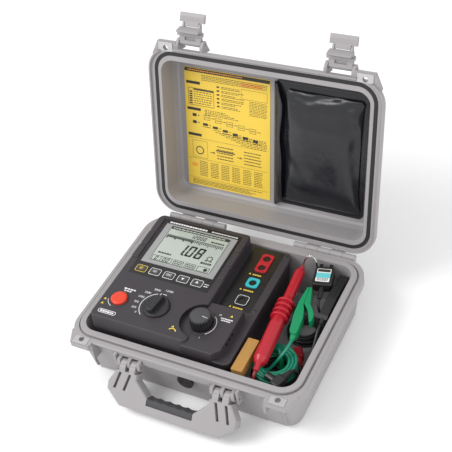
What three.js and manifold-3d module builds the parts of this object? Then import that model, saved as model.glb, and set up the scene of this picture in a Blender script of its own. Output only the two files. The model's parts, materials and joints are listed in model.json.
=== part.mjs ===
// Insulation resistance tester in a hard carrying case, lid open, leads stowed beside it.
// Millimetres, +Z up. The origin is the middle of the case's underside, +X is the
// user's right and +Y runs from the handle side back to the hinge side.
import * as THREE from "three";
import { mergeVertices } from "three/addons/utils/BufferGeometryUtils.js";
import Module from "manifold-3d";

const wasm = await Module();
wasm.setup();

// ---------------------------------------------------------------- driving sizes
const GAP = 0.3; // clearance between pieces that touch
const WALL = 4; // case wall and floor
const RIM_Z = 86; // top of the case base's sealing tongue
const TUB = { w: 169.5, d: 120.3, r: 22 }; // half width, half depth and corner of the mouth
const TONGUE = 8.5; // width of the sealing tongue round the mouth
const FLANGE = { w: TUB.w + 17.5, d: TUB.d + 18.7, r: TUB.r + 15 }; // outside of the rim band
const FLANGE_H = 18.5; // height of the rim band
const DRAFT = 8; // how far each wall leans in over the base's height
const LID_DEPTH = 45; // from the tongue's top to the lid's ceiling
const LID_OPEN_DEG = 104.3; // how far the lid leans back on its stop

const FACE_Z = RIM_Z + 2 * GAP; // the lid's sealing face
const KNUCKLE = { first: 60, pitch: 20, count: 5, r: 5.2, pin: 2 }; // one row of knuckles each side
// The lid's hinge axis clears the rim band behind and the sealing face above.
const HINGE = { y: FLANGE.d + KNUCKLE.r + GAP, z: FACE_Z - KNUCKLE.r - 1.4 };
const HINGE_PIN = { x0: KNUCKLE.first, x1: KNUCKLE.first + KNUCKLE.pitch * KNUCKLE.count };
// Each handle arm is gripped by three lugs round a middle one, on a pin.
const LUG = { x: 75, w: 5, slack: 0.8, r: 6.5, pin: 2.2, shifts: [-16, 0, 16] };
const ARM = { in: LUG.x - 17, out: LUG.x + 18 };
const HANDLE = { y: -FLANGE.d - 3, z: RIM_Z - 23, reach: 62.5, deg: 36.5, half: 104 };
// Latches pivot on the lid's front, and close into bays cut in the rim band.
const BAY = { side: 0.75, web: 3.5, strikeZ: RIM_Z - 6.7 };
const LATCH_HALF = 17.75; // half width of a latch
const LATCH_PIN = 1.8;
const LEDGE_SIDE = 2.7; // how far a latch's ledge stands out each side
const LATCH = {
  x: ARM.out + 3 + BAY.web + BAY.side + LATCH_HALF,
  y: -FLANGE.d - 8.5,
  z: RIM_Z + 11,
  half: LATCH_HALF,
};
const EYE = { x: LATCH.x + LATCH.half + 21.25, y: 1 - FLANGE.d, r: 4.2 }; // padlock eyes
const EYE_PLATE = { w: 12, front: EYE.y - 8.6, back: EYE.y + 4.8, t: 0.8 };
const VALVE = { x: 8, z: 50, r: 12.5 }; // pressure valve in the front wall
const VALVE_STEM = 8;

const TESTER = { x0: 12.5 - TUB.w, x1: 70, y0: 8.3 - TUB.d, y1: TUB.d - 3.3, floor: 4.8 };
const DECK_Z = RIM_Z + 20; // display and control deck
const STEP_X = 3; // where the deck steps down to the terminal side
const DIAL_DECK_Z = DECK_Z - 4; // deck in front of the terminals
const PANEL_Z = RIM_Z; // terminal panel
const KEY = { x: -128, pitch: 24, y: -0.5, w: 15, d: 10, travel: 0.8 };
const BUTTON = { x: -128, y: -67, r: 12.6, travel: 3 };
const KNOB = { x: -67, y: -63, r: 20 };
const DIAL = { x: 8, y: -65, r: 16.5, top: DECK_Z + 13 };
const DISPLAY = { x0: -144, x1: -9, y0: -13, y1: 110 }; // black overlay
const LCD = { x0: -137, x1: -13, y0: 13.5, y1: 100.5 }; // framed display
const JACK = { x: 37, r: 4.65, sleeve: 7, line: [94, 75], guard: 42, earth: 5 };

const STOW_Z = RIM_Z - 6; // height of the accessories laid in the case
const LINE_CORD = 5; // lead diameters
const USB_CORD = 4;

// ---------------------------------------------------------------- finishes
const finish = (color, roughness = 0.6, metalness = 0) =>
  new THREE.MeshStandardMaterial({ color, roughness, metalness });
const casePlastic = 0xa9a5a7;
const testerPlastic = 0x4a454b;
const black = 0x18171a;
const steel = 0xb9b9bb;
const red = 0xc42b38;
const green = 0x14965f;

// ---------------------------------------------------------------- solids
function toSolid(geometry) {
  const bare = geometry.clone();
  for (const name of Object.keys(bare.attributes)) {
    if (name !== "position") bare.deleteAttribute(name);
  }
  const merged = mergeVertices(bare, 1e-4);
  return new wasm.Manifold(
    new wasm.Mesh({
      numProp: 3,
      vertProperties: new Float32Array(merged.attributes.position.array),
      triVerts: new Uint32Array(merged.index.array),
    }),
  );
}

function toGeometry(solid) {
  const mesh = solid.getMesh();
  const geometry = new THREE.BufferGeometry();
  geometry.setAttribute("position", new THREE.BufferAttribute(mesh.vertProperties, 3));
  geometry.setIndex(new THREE.BufferAttribute(mesh.triVerts, 1));
  const flat = geometry.toNonIndexed();
  flat.computeVertexNormals();
  return flat;
}

const join = (...solids) => solids.reduce((all, next) => all.add(next));
const cut = (body, ...tools) => tools.reduce((left, tool) => left.subtract(tool), body);

function block(x0, x1, y0, y1, z0, z1) {
  const geometry = new THREE.BoxGeometry(x1 - x0, y1 - y0, z1 - z0);
  return toSolid(geometry.translate((x0 + x1) / 2, (y0 + y1) / 2, (z0 + z1) / 2));
}

// A cylinder or cone along an axis, from one place to another on it.
function rod(axis, r, from, to, a = 0, b = 0, segments = 24, rEnd = r) {
  const geometry = new THREE.CylinderGeometry(rEnd, r, to - from, segments);
  geometry.translate(0, (from + to) / 2, 0);
  if (axis === "x") geometry.rotateZ(-Math.PI / 2).translate(0, a, b);
  if (axis === "y") geometry.translate(a, 0, b);
  if (axis === "z") geometry.rotateX(Math.PI / 2).translate(a, b, 0);
  return toSolid(geometry);
}

// A loft of rounded rectangles: each level gives z, half width w, half depth d and corner r.
// Shift moves a level along Y. The unit outline has one-unit corners centred on (1, 1) and its
// mirror images, and each vertex moves to its level's size.
function loft(levels, cx = 0, cy = 0, segments = 5) {
  const unit = new THREE.Shape();
  unit.absarc(1, 1, 1, 0, Math.PI / 2, false);
  unit.absarc(-1, 1, 1, Math.PI / 2, Math.PI, false);
  unit.absarc(-1, -1, 1, Math.PI, 1.5 * Math.PI, false);
  unit.absarc(1, -1, 1, 1.5 * Math.PI, 2 * Math.PI, false);
  const geometry = new THREE.ExtrudeGeometry(unit, {
    depth: levels.length - 1,
    steps: levels.length - 1,
    bevelEnabled: false,
    curveSegments: segments,
  });
  const p = geometry.attributes.position;
  for (let i = 0; i < p.count; i++) {
    const level = levels[Math.round(p.getZ(i))];
    const sx = Math.sign(p.getX(i));
    const sy = Math.sign(p.getY(i));
    const x = sx * (level.w - level.r) + (p.getX(i) - sx) * level.r;
    const y = sy * (level.d - level.r) + (p.getY(i) - sy) * level.r;
    p.setXYZ(i, cx + x, cy + level.shift + y, level.z);
  }
  return toSolid(geometry);
}

const level = (z, w, d, r, shift = 0) => ({ z, w, d, r, shift });
const grown = (size, by, z) => level(z, size.w + by, size.d + by, size.r + by);

// A loft between opposite corners in plan, with the same inset from each side.
function slab(x0, x1, y0, y1, r, steps, segments = 4) {
  const w = (x1 - x0) / 2;
  const d = (y1 - y0) / 2;
  const levels = steps.map(([z, inset]) => level(z, w - inset, d - inset, r - inset / 2));
  return loft(levels, (x0 + x1) / 2, (y0 + y1) / 2, segments);
}

// A polygon in the Y-Z plane, extruded along X.
function gusset(points, x0, x1) {
  const shape = new THREE.Shape(points.map(([y, z]) => new THREE.Vector2(y, z)));
  const geometry = new THREE.ExtrudeGeometry(shape, { depth: x1 - x0, bevelEnabled: false });
  // The drawing's x becomes Y and its y becomes Z, so the extrusion runs along X.
  const turn = new THREE.Matrix4().makeBasis(
    new THREE.Vector3(0, 1, 0),
    new THREE.Vector3(0, 0, 1),
    new THREE.Vector3(1, 0, 0),
  );
  return toSolid(geometry.applyMatrix4(turn).translate(x0, 0, 0));
}

// A polygon in plan, extruded upwards, with an optional chamfer on both of its faces.
function plate(points, z0, z1, bevel = 0) {
  const shape = new THREE.Shape(points.map(([x, y]) => new THREE.Vector2(x, y)));
  const geometry = new THREE.ExtrudeGeometry(shape, {
    depth: z1 - z0 - 2 * bevel,
    bevelEnabled: bevel > 0,
    bevelSize: bevel,
    bevelOffset: -bevel,
    bevelThickness: bevel,
    bevelSegments: 1,
  });
  return toSolid(geometry.translate(0, 0, z0 + bevel));
}

// A turned piece: [radius, height] pairs round the Z axis, starting and ending on it.
function turned(profile, segments = 32) {
  const points = profile.map(([r, z]) => new THREE.Vector2(r, z));
  return toSolid(new THREE.LatheGeometry(points, segments).rotateX(Math.PI / 2));
}

const group = new THREE.Group();
group.name = "insulation_resistance_tester";

function put(name, solid, material, parent = group) {
  const mesh = new THREE.Mesh(toGeometry(solid), material);
  mesh.name = name;
  parent.add(mesh);
  return mesh;
}

const side = { left: -1, right: 1 };

// ---------------------------------------------------------------- case base
const WALL_TOP = RIM_Z - 20; // where the drafted wall meets the rim band
const FLANGE_TOP = RIM_Z - 3.5;
const wallTop = { w: TUB.w + TONGUE + 3.5, d: TUB.d + TONGUE + 2.7, r: TUB.r + 9 };
const foot = { w: wallTop.w - DRAFT - 1.5, d: wallTop.d - DRAFT - 0.5, r: TUB.r + 1 };

const BAND_FLOOR = RIM_Z - 46; // well below the rim band

// A pair of places on the right side, or its mirror image on the left.
const spanOn = (sign, a, b) => (sign > 0 ? [a, b] : [-b, -a]);

// The recess that an eye's plate lies in, from one height to another.
function eyeRecess(sign, z0, z1) {
  const { w, front, back } = EYE_PLATE;
  const x = sign * EYE.x;
  return block(x - w - GAP, x + w + GAP, front - GAP, back + GAP, z0, z1);
}

// A padlock eye's tab, with its outline in plan worked out for the right side.
function eyeTab(sign, z0, z1) {
  const inner = LATCH.x + LATCH.half + LEDGE_SIDE + GAP; // clear of the closed latch
  const points = [
    [inner, EYE.y + 13],
    [inner, EYE.y - 5],
    [EYE.x - 16, EYE.y - 10],
    [EYE.x + 14, EYE.y - 10],
    [EYE.x + 24, EYE.y + 12],
    [EYE.x + 20, EYE.y + 22],
    [EYE.x, EYE.y + 26],
  ];
  const outline = points.map(([x, y]) => [sign * x, y]);
  return plate(sign > 0 ? outline : outline.reverse(), z0, z1);
}

const knuckleSpan = (i) => {
  const x0 = KNUCKLE.first + i * KNUCKLE.pitch;
  return [x0, x0 + KNUCKLE.pitch - 0.4];
};

// Knuckles of one owner, both sides: even ones belong to the base, odd ones to the lid.
function knuckles(parity, arm) {
  const made = [];
  for (const sign of Object.values(side)) {
    for (let i = parity; i < KNUCKLE.count; i += 2) {
      const [a, b] = knuckleSpan(i);
      const [x0, x1] = spanOn(sign, a, b);
      made.push(rod("x", KNUCKLE.r, x0, x1, HINGE.y, HINGE.z, 20));
      made.push(arm(x0, x1));
    }
  }
  return join(...made);
}

function hingeBore(sign) {
  const [x0, x1] = spanOn(sign, HINGE_PIN.x0 - 1, HINGE_PIN.x1 + 1);
  return rod("x", KNUCKLE.pin + GAP, x0, x1, HINGE.y, HINGE.z, 20);
}

function handleLug(x) {
  const tip = [HANDLE.y - LUG.r, HANDLE.z];
  const web = gusset(
    [
      [HANDLE.y + 14, HANDLE.z + 11],
      [HANDLE.y + 14, HANDLE.z - 11],
      [HANDLE.y, HANDLE.z - LUG.r],
      tip,
      [HANDLE.y - 4, HANDLE.z + 11],
    ].reverse(),
    x - LUG.w / 2,
    x + LUG.w / 2,
  );
  return join(web, rod("x", LUG.r, x - LUG.w / 2, x + LUG.w / 2, HANDLE.y, HANDLE.z, 20));
}

function caseBase() {
  let body = loft([
    level(0, foot.w - 4, foot.d - 4, foot.r - 4),
    level(1.4, foot.w - 1.2, foot.d - 1.2, foot.r - 1.2),
    level(4.5, foot.w, foot.d, foot.r),
    grown(wallTop, 0, WALL_TOP),
    grown(wallTop, 0.5, FLANGE_TOP - 1),
  ]);
  const band = loft([
    grown(FLANGE, -3.5, RIM_Z - 3.5 - FLANGE_H),
    grown(FLANGE, 0, RIM_Z - 1 - FLANGE_H),
    grown(FLANGE, 0, FLANGE_TOP - 1.5),
    grown(FLANGE, -1.5, FLANGE_TOP),
  ]);
  const tongue = loft([
    grown(TUB, TONGUE, FLANGE_TOP - 2),
    grown(TUB, TONGUE, RIM_Z - 0.8),
    grown(TUB, TONGUE - 0.8, RIM_Z),
  ]);
  body = join(body, band, tongue);

  for (const sign of Object.values(side)) {
    const bayHalf = LATCH.half + BAY.side;
    const [x0, x1] = spanOn(sign, LATCH.x - bayHalf, LATCH.x + bayHalf);
    const bayFront = -FLANGE.d - 11;
    body = cut(body, block(x0, x1, bayFront, 0.2 - wallTop.d, BAND_FLOOR, BAY.strikeZ));
    const profile = [
      [3.5 - wallTop.d, BAY.strikeZ - 0.3],
      [-FLANGE.d - 6, BAY.strikeZ - 0.3],
      [-FLANGE.d - 6, RIM_Z - 33],
      [3.5 - wallTop.d, RIM_Z - 36],
    ];
    body = join(body, gusset(profile, x0 - BAY.web, x0), gusset(profile, x1, x1 + BAY.web));
    // The band is also cut away where the tops of the handle's arms turn.
    const [h0, h1] = spanOn(sign, LUG.x - 20, LUG.x + 20);
    const armRoom = HANDLE.z + 11;
    body = cut(body, block(h0, h1, bayFront, -wallTop.d - 0.8, BAND_FLOOR, armRoom));
    const lugs = LUG.shifts.map((shift) => handleLug(sign * LUG.x + shift));
    body = join(body, eyeTab(sign, FLANGE_TOP - 9.5, FLANGE_TOP), ...lugs);
    const rib = [
      [2 - foot.d, 5],
      [-foot.d - 1.5, 6],
      [-wallTop.d - 2, WALL_TOP],
      [-wallTop.d - 2, WALL_TOP + 8],
      [4 - wallTop.d, WALL_TOP + 8],
    ];
    body = join(body, gusset(rib.reverse(), sign * EYE.x - 1.5, sign * EYE.x + 1.5));
  }

  const arm = (x0, x1) => block(x0, x1, HINGE.y - 8.5, HINGE.y + 2.5, HINGE.z - 8, HINGE.z);
  body = join(body, knuckles(0, arm));

  const mouth = loft([
    level(WALL + 0.5, TUB.w - 11.5, TUB.d - 11.3, TUB.r - 11),
    level(WALL + 4, TUB.w - 8, TUB.d - 7.8, TUB.r - 7),
    grown(TUB, 0, RIM_Z + 4),
  ]);
  const groove = cut(
    loft([grown(TUB, TONGUE + 2.5, FLANGE_TOP - 2.5), grown(TUB, TONGUE + 2.5, RIM_Z + 4)]),
    loft([grown(TUB, TONGUE, FLANGE_TOP - 3), grown(TUB, TONGUE, RIM_Z + 5)]),
  );
  body = cut(body, mouth, groove);

  for (const sign of Object.values(side)) {
    const eye = rod("z", EYE.r, BAND_FLOOR + 20, RIM_Z + 4, sign * EYE.x, EYE.y);
    const [bore0, bore1] = spanOn(sign, LUG.x - 25, LUG.x + 25);
    const bore = rod("x", LUG.pin + GAP, bore0, bore1, HANDLE.y, HANDLE.z);
    const recessZ = FLANGE_TOP - EYE_PLATE.t;
    body = cut(body, eyeRecess(sign, recessZ, FLANGE_TOP + 1), eye);
    body = cut(body, bore, hingeBore(sign));
  }
  const valveBore = rod("y", VALVE_STEM + GAP, -wallTop.d - 8, 20 - wallTop.d, VALVE.x, VALVE.z);
  return cut(body, valveBore);
}

put("case_base", caseBase(), finish(casePlastic, 0.55));

// Purge valve: a screw head outside the front wall, with its stem through it.
const valveSeat = -wallTop.d; // proud of the wall at this height, which leans in below the band
const valve = join(
  rod("y", VALVE.r, valveSeat - 3.4, valveSeat, VALVE.x, VALVE.z, 32),
  rod("y", VALVE_STEM, valveSeat - 1, valveSeat + 12, VALVE.x, VALVE.z),
);
const valveSlot = block(
  VALVE.x - 8,
  VALVE.x + 8,
  valveSeat - 4,
  valveSeat - 2,
  VALVE.z - 1.2,
  VALVE.z + 1.2,
);
put("purge_valve", cut(valve, valveSlot), finish(black, 0.5));

for (const [name, sign] of Object.entries(side)) {
  const [x0, x1] = spanOn(sign, HINGE_PIN.x0 + 0.5, HINGE_PIN.x1 - 0.5);
  const pin = rod("x", KNUCKLE.pin, x0, x1, HINGE.y, HINGE.z, 16);
  put("hinge_pin_" + name, pin, finish(steel, 0.3, 1));
  const [h0, h1] = spanOn(sign, ARM.in - 0.5, ARM.out - 0.5);
  const handlePin = rod("x", LUG.pin, h0, h1, HANDLE.y, HANDLE.z, 16);
  put("handle_pin_" + name, handlePin, finish(steel, 0.3, 1));
}

// Metal plate round a padlock eye, let into the flat of the tab.
function eyePlate(sign, z) {
  const { w, front, back, t } = EYE_PLATE;
  const whole = block(sign * EYE.x - w, sign * EYE.x + w, front, back, z, z + t);
  return cut(whole, rod("z", EYE.r, z - 2, z + 2, sign * EYE.x, EYE.y));
}
for (const [name, sign] of Object.entries(side)) {
  const z = FLANGE_TOP + GAP - EYE_PLATE.t;
  put("padlock_plate_base_" + name, eyePlate(sign, z), finish(steel, 0.35, 1));
}

// ---------------------------------------------------------------- handle
// Drawn hanging straight down from its pins, then swung out to where it is held.
const handleGroup = new THREE.Group();
handleGroup.position.set(0, HANDLE.y, HANDLE.z);
handleGroup.rotation.x = -THREE.MathUtils.degToRad(HANDLE.deg);
group.add(handleGroup);

// A polygon in the handle's own plane: x across, s down from the pins, t the thickness.
function handlePlate(points, t0, t1, bevel = 0) {
  const shape = new THREE.Shape(points.map(([x, s]) => new THREE.Vector2(x, -s)));
  const geometry = new THREE.ExtrudeGeometry(shape, {
    depth: t1 - t0 - 2 * bevel,
    bevelEnabled: bevel > 0,
    bevelSize: bevel,
    bevelOffset: -bevel,
    bevelThickness: bevel,
    bevelSegments: 2,
  });
  return toSolid(geometry.translate(0, 0, t0 + bevel).rotateX(Math.PI / 2));
}

const GRIP = { x: 37, s0: 38, s1: 49, t: 8.4 };
function handleFrame() {
  const outer = [
    [-ARM.out, 0],
    [-ARM.out, 10],
    [-HANDLE.half, 30],
    [-HANDLE.half, 42],
    [-81, HANDLE.reach],
    [81, HANDLE.reach],
    [HANDLE.half, 42],
    [HANDLE.half, 30],
    [ARM.out, 10],
    [ARM.out, 0],
    [ARM.in, 0],
    [ARM.in, 18],
    [GRIP.x + 1, GRIP.s0],
    [-GRIP.x - 1, GRIP.s0],
    [-ARM.in, 18],
    [-ARM.in, 0],
  ];
  let frame = handlePlate(outer, -9, 9, 3);
  for (const sign of Object.values(side)) {
    const [x0, x1] = spanOn(sign, ARM.in, ARM.out);
    frame = join(frame, rod("x", LUG.r + 1, x0, x1, 0, 0));
    for (const shift of LUG.shifts) {
      const x = sign * LUG.x + shift;
      const half = LUG.w / 2 + LUG.slack;
      // Room for the lug to turn in, then a lightening slot further down the arm.
      frame = cut(frame, block(x - half, x + half, -12, 12, -9.5, 14));
    }
    for (const shift of [-8, 8]) {
      const slot = [
        [sign * LUG.x + shift - 2.2 + sign * 2, 12],
        [sign * LUG.x + shift + 2.2 + sign * 2, 12],
        [sign * LUG.x + shift + 2.2 + sign * 9, 38],
        [sign * LUG.x + shift - 2.2 + sign * 9, 38],
      ];
      frame = cut(frame, handlePlate(slot, 1, 12));
    }
    frame = cut(frame, rod("x", LUG.pin + GAP, x0 - 8, x1 + 8, 0, 0));
  }
  const half = GRIP.x + GAP;
  const thick = GRIP.t + 3;
  return cut(frame, block(-half, half, -thick, thick, -GRIP.s1 - GAP, 2 - GRIP.s0));
}
put("handle_frame", handleFrame(), finish(casePlastic, 0.55), handleGroup);

// Rubber grip with finger scallops, seated in the bar's inner side.
const GRIP_FINGERS = 5;
function handleGrip() {
  const pitch = (2 * GRIP.x) / GRIP_FINGERS;
  const outline = [
    [-GRIP.x, GRIP.s1],
    [GRIP.x, GRIP.s1],
  ];
  for (let i = GRIP_FINGERS * 4; i >= 0; i--) {
    const x = -GRIP.x + (i * pitch) / 4;
    const dip = 1.6 * Math.abs(Math.sin((Math.PI * (x + GRIP.x)) / pitch));
    outline.push([x, GRIP.s0 + dip]);
  }
  return handlePlate(outline, -GRIP.t, GRIP.t, 1.5);
}
put("handle_grip", handleGrip(), finish(0x4c4b4f, 0.8), handleGroup);

// ---------------------------------------------------------------- lid
// Drawn closed on the base, then opened about the hinge axis.
const lidGroup = new THREE.Group();
lidGroup.position.set(0, HINGE.y, HINGE.z);
lidGroup.rotation.x = -THREE.MathUtils.degToRad(LID_OPEN_DEG);
group.add(lidGroup);
const closedLid = new THREE.Group();
closedLid.position.set(0, -HINGE.y, -HINGE.z);
lidGroup.add(closedLid);

const CEILING_Z = RIM_Z + LID_DEPTH;
const dome = { w: TUB.w + 4, d: TUB.d + 4.7, r: TUB.r + 6 };
// Gasket centre line and half width. It presses on the tongue.
const SEAL = { w: TUB.w + 5.5, d: TUB.d + 9.7, r: TUB.r + 6, half: 3 };

function lidShell() {
  const rim = loft([
    grown(FLANGE, 0, FACE_Z),
    grown(FLANGE, 0, FACE_Z + 5),
    grown(FLANGE, -1.4, FACE_Z + 6.4),
  ]);
  const bowl = loft([
    grown(dome, 0, FACE_Z + 3),
    grown(dome, -2.5, CEILING_Z - 10),
    grown(dome, -4.5, CEILING_Z),
    grown(dome, -6.5, CEILING_Z + 2.6),
    grown(dome, -10.5, CEILING_Z + 4.7),
  ]);
  let body = join(rim, bowl);
  const skirt = cut(
    loft([grown(FLANGE, 0, FLANGE_TOP + 2 * GAP), grown(FLANGE, 0, FACE_Z + 1)]),
    loft([grown(FLANGE, -2.4, FLANGE_TOP), grown(FLANGE, -2.4, FACE_Z + 2)]),
  );
  body = join(body, skirt);
  // A raised field on the outside of the lid.
  const field = [
    [CEILING_Z + 3, 0],
    [CEILING_Z + 5.4, 0],
    [CEILING_Z + 6.2, 0.8],
  ];
  body = join(body, slab(33.5 - dome.w, dome.w - 33.5, 33 - dome.d, dome.d - 33, 12, field));
  for (const sign of Object.values(side)) {
    body = join(body, eyeTab(sign, FACE_Z + 0.9, FACE_Z + 7.5));
    for (const end of [-1, 1]) {
      const x = sign * LATCH.x + end * (LATCH.half + 2.75);
      const lug = gusset(
        [
          [3 - FLANGE.d, FACE_Z + 1],
          [LATCH.y + 2, FACE_Z + 1],
          [LATCH.y - 5, LATCH.z - 3],
          [LATCH.y - 5, LATCH.z + 3],
          [LATCH.y + 1, LATCH.z + 6],
          [5 - FLANGE.d, LATCH.z + 15],
        ].reverse(),
        x - 2.25,
        x + 2.25,
      );
      body = join(body, lug);
    }
  }
  const arm = (x0, x1) =>
    join(
      block(x0, x1, HINGE.y - 4.5, HINGE.y + 4.7, HINGE.z, FACE_Z + 5),
      block(x0, x1, HINGE.y - 8.5, HINGE.y + 4.7, FACE_Z, FACE_Z + 5),
    );
  body = join(body, knuckles(1, arm));

  const hollow = loft([
    level(FACE_Z - 1, TUB.w - 2.5, TUB.d - 1, TUB.r - 2),
    level(CEILING_Z - 12, TUB.w - 3.5, TUB.d - 1.8, TUB.r - 3),
    level(CEILING_Z - 3, TUB.w - 6, TUB.d - 4.5, TUB.r - 5),
    level(CEILING_Z, TUB.w - 9, TUB.d - 7.5, TUB.r - 8),
  ]);
  const grooveAt = (by) => [
    grown(SEAL, by, FACE_Z - 1),
    grown(SEAL, by, FACE_Z + 3),
  ];
  const groove = cut(
    loft(grooveAt(SEAL.half)),
    loft([grown(SEAL, -SEAL.half, FACE_Z - 2), grown(SEAL, -SEAL.half, FACE_Z + 4)]),
  );
  body = cut(body, hollow, groove);
  for (const sign of Object.values(side)) {
    const eye = rod("z", EYE.r, FACE_Z - 6, FACE_Z + 14, sign * EYE.x, EYE.y);
    const [x0, x1] = spanOn(sign, LATCH.x - LATCH.half - 6, LATCH.x + LATCH.half + 6);
    const latchBore = rod("x", LATCH_PIN + 0.4, x0, x1, LATCH.y, LATCH.z, 12);
    body = cut(body, eyeRecess(sign, FLANGE_TOP, FACE_Z + EYE_PLATE.t));
    body = cut(body, eye, hingeBore(sign), latchBore);
  }
  return body;
}
put("lid_shell", lidShell(), finish(casePlastic, 0.55), closedLid);

const gasket = cut(
  loft([grown(SEAL, SEAL.half - GAP, RIM_Z + GAP), grown(SEAL, SEAL.half - GAP, FACE_Z + 2.7)]),
  loft([grown(SEAL, GAP - SEAL.half, RIM_Z), grown(SEAL, GAP - SEAL.half, FACE_Z + 3)]),
);
put("lid_gasket", gasket, finish(black, 0.7), closedLid);

for (const [name, sign] of Object.entries(side)) {
  const under = eyePlate(sign, FACE_Z - GAP);
  put("padlock_plate_lid_" + name, under, finish(steel, 0.35, 1), closedLid);
}

const LABEL = { x0: 17.5 - TUB.w, x1: -5, y0: 25.3 - TUB.d, y1: TUB.d - 12.3, t: 0.4 };
const label = block(
  LABEL.x0,
  LABEL.x1,
  LABEL.y0,
  LABEL.y1,
  CEILING_Z - GAP - LABEL.t,
  CEILING_Z - GAP,
);
put("instruction_label", label, finish(0xe5b92e, 0.45), closedLid);

// Document pouch: a soft pocket against the ceiling, with a stiff edge strip at its mouth.
// Both stay clear of the adjusting dial when the lid is closed.
const POUCH = {
  x0: 5,
  x1: TUB.w - 18.5,
  y0: 19.3 - TUB.d,
  y1: TUB.d - 14.3,
  thick: 10.2,
  strip: 10.9,
};
const pouchTop = CEILING_Z - GAP;
const pouch = join(
  slab(POUCH.x0, POUCH.x1, POUCH.y0, POUCH.y1, 10, [
    [pouchTop - POUCH.thick, 9],
    [pouchTop - POUCH.thick * 0.6, 3],
    [pouchTop - 2, 0],
    [pouchTop, 0],
  ]),
  block(POUCH.x0 - 3, POUCH.x0 - 1.5, POUCH.y0 + 2, POUCH.y1, pouchTop - POUCH.strip, pouchTop),
  block(POUCH.x0 - 3, POUCH.x0 + 3, POUCH.y0 + 12, POUCH.y1 - 12, pouchTop - 1.5, pouchTop),
);
put("document_pouch", pouch, finish(black, 0.3), closedLid);

// ---------------------------------------------------------------- latches
// Drawn swung open, straight out from the lid's front: u runs out from the pivot and
// w runs down towards the sealing face, which is inwards once the latch is closed.
const HOOK = { u0: 18.5, u1: 23.5, w: 13 };
const LEVER_PIN = 1.4;
const LEVER = {
  u: 26.5,
  w: -4.2,
  tip: 43,
  half: LATCH.half + 2.55,
  neck: LATCH.half - 6.35,
  deg: 12,
};
const EAR = LATCH.half - 4.25; // the lever turns between two ears this far from the middle

function latchGusset(points, x, half) {
  const drawn = points.map(([u, w]) => [LATCH.y - u, LATCH.z - w]);
  return gusset(drawn, x - half, x + half);
}

function latchBody(sign) {
  const x = sign * LATCH.x;
  const strap = latchGusset([[-1, -3], [-1, 4], [HOOK.u1, 4], [HOOK.u1, -1]], x, LATCH.half);
  const hook = latchGusset(
    [
      [HOOK.u0, 3],
      [HOOK.u0, HOOK.w],
      [HOOK.u0 + 3, HOOK.w],
      [HOOK.u1, 4],
      [HOOK.u1, 3],
    ],
    x,
    LATCH.half,
  );
  const ledge = latchGusset([[12, -1], [12, 6], [15.5, 6], [17.5, -1]], x, LATCH.half + LEDGE_SIDE);
  const barrel = rod("x", 4.6, x - LATCH.half, x + LATCH.half, LATCH.y, LATCH.z, 20);
  const ears = [-1, 1].map((end) => {
    // Rounded about the lever's pivot, so that the lever clears it when tipped.
    const ear = [
      [HOOK.u1 - 4, 3],
      [HOOK.u1 - 4, LEVER.w - 2.4],
      [LEVER.u + 0.8, LEVER.w - 2.4],
      [LEVER.u + 2.4, LEVER.w - 1.4],
      [LEVER.u + 2.6, LEVER.w],
      [LEVER.u + 2.2, LEVER.w + 1.8],
      [LEVER.u + 0.5, LEVER.w + 2.9],
      [LEVER.u - 2, LEVER.w + 4.2],
    ];
    return latchGusset(ear, x + end * EAR, 1.5);
  });
  const pivot = rod("x", LEVER_PIN, x - EAR, x + EAR, LATCH.y - LEVER.u, LATCH.z - LEVER.w, 12);
  // The pin is moulded on the strap and turns in the lid's lugs.
  const reach = LATCH.half + 4.5;
  const pin = rod("x", LATCH_PIN, x - reach, x + reach, LATCH.y, LATCH.z, 12);
  return cut(join(strap, hook, ledge, barrel, ...ears, pivot, pin), latchRecess(x));
}

// The moulded recess seen on the strap's inner side.
const latchRecess = (x) => latchGusset([[4.8, 1.5], [4.8, 5], [10, 5], [10, 1.5]], x, 9);

function latchLever(sign) {
  const x = sign * LATCH.x;
  const lever = latchGusset(
    [
      [LEVER.u + 3.2, -6.2],
      [LEVER.u + 3.2, -2.6],
      [LEVER.tip - 5, -2.6],
      [LEVER.tip, -3.8],
      [LEVER.tip, -6.2],
      [LEVER.tip - 4, -7.4],
      [LEVER.u + 4, -7.4],
    ],
    x,
    LEVER.half,
  );
  const neck = latchGusset(
    [[LEVER.u - 2.9, -7], [LEVER.u - 2.9, -1.4], [LEVER.u + 4.5, -2.6], [LEVER.u + 4.5, -7]],
    x,
    LEVER.neck,
  );
  const [y, z] = [LATCH.y - LEVER.u, LATCH.z - LEVER.w];
  return cut(join(lever, neck), rod("x", LEVER_PIN + GAP, x - EAR - 1.5, x + EAR + 1.5, y, z, 12));
}

for (const [name, sign] of Object.entries(side)) {
  put("latch_body_" + name, latchBody(sign), finish(casePlastic, 0.5), closedLid);
  // The lever is tipped back about its own pivot.
  const pivot = new THREE.Group();
  pivot.position.set(0, LATCH.y - LEVER.u, LATCH.z - LEVER.w);
  pivot.rotation.x = -THREE.MathUtils.degToRad(LEVER.deg);
  const drawn = new THREE.Group();
  drawn.position.copy(pivot.position).negate();
  pivot.add(drawn);
  closedLid.add(pivot);
  put("latch_lever_" + name, latchLever(sign), finish(casePlastic, 0.5), drawn);
}

// ---------------------------------------------------------------- tester
const SEAM_Z = PANEL_Z - 3; // joint between the tester's bottom case and its top cover
const SKIN = 3; // tester wall
const CEILING = DECK_Z - 6; // underside of the thick deck round the display
const testerMid = { x: (TESTER.x0 + TESTER.x1) / 2, y: (TESTER.y0 + TESTER.y1 - 2) / 2 };
const testerHalf = { w: (TESTER.x1 - TESTER.x0) / 2, d: (TESTER.y1 - TESTER.y0) / 2 - 1 };
const BATTERY = { x0: -121, x1: -15, y0: 14, y1: 96 };
const BOARD = { x0: -140, x1: 50, y0: -95, y1: 100, z: 60, t: 1.6 };
const POST = { r: 3.5, inset: 6 };

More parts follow.
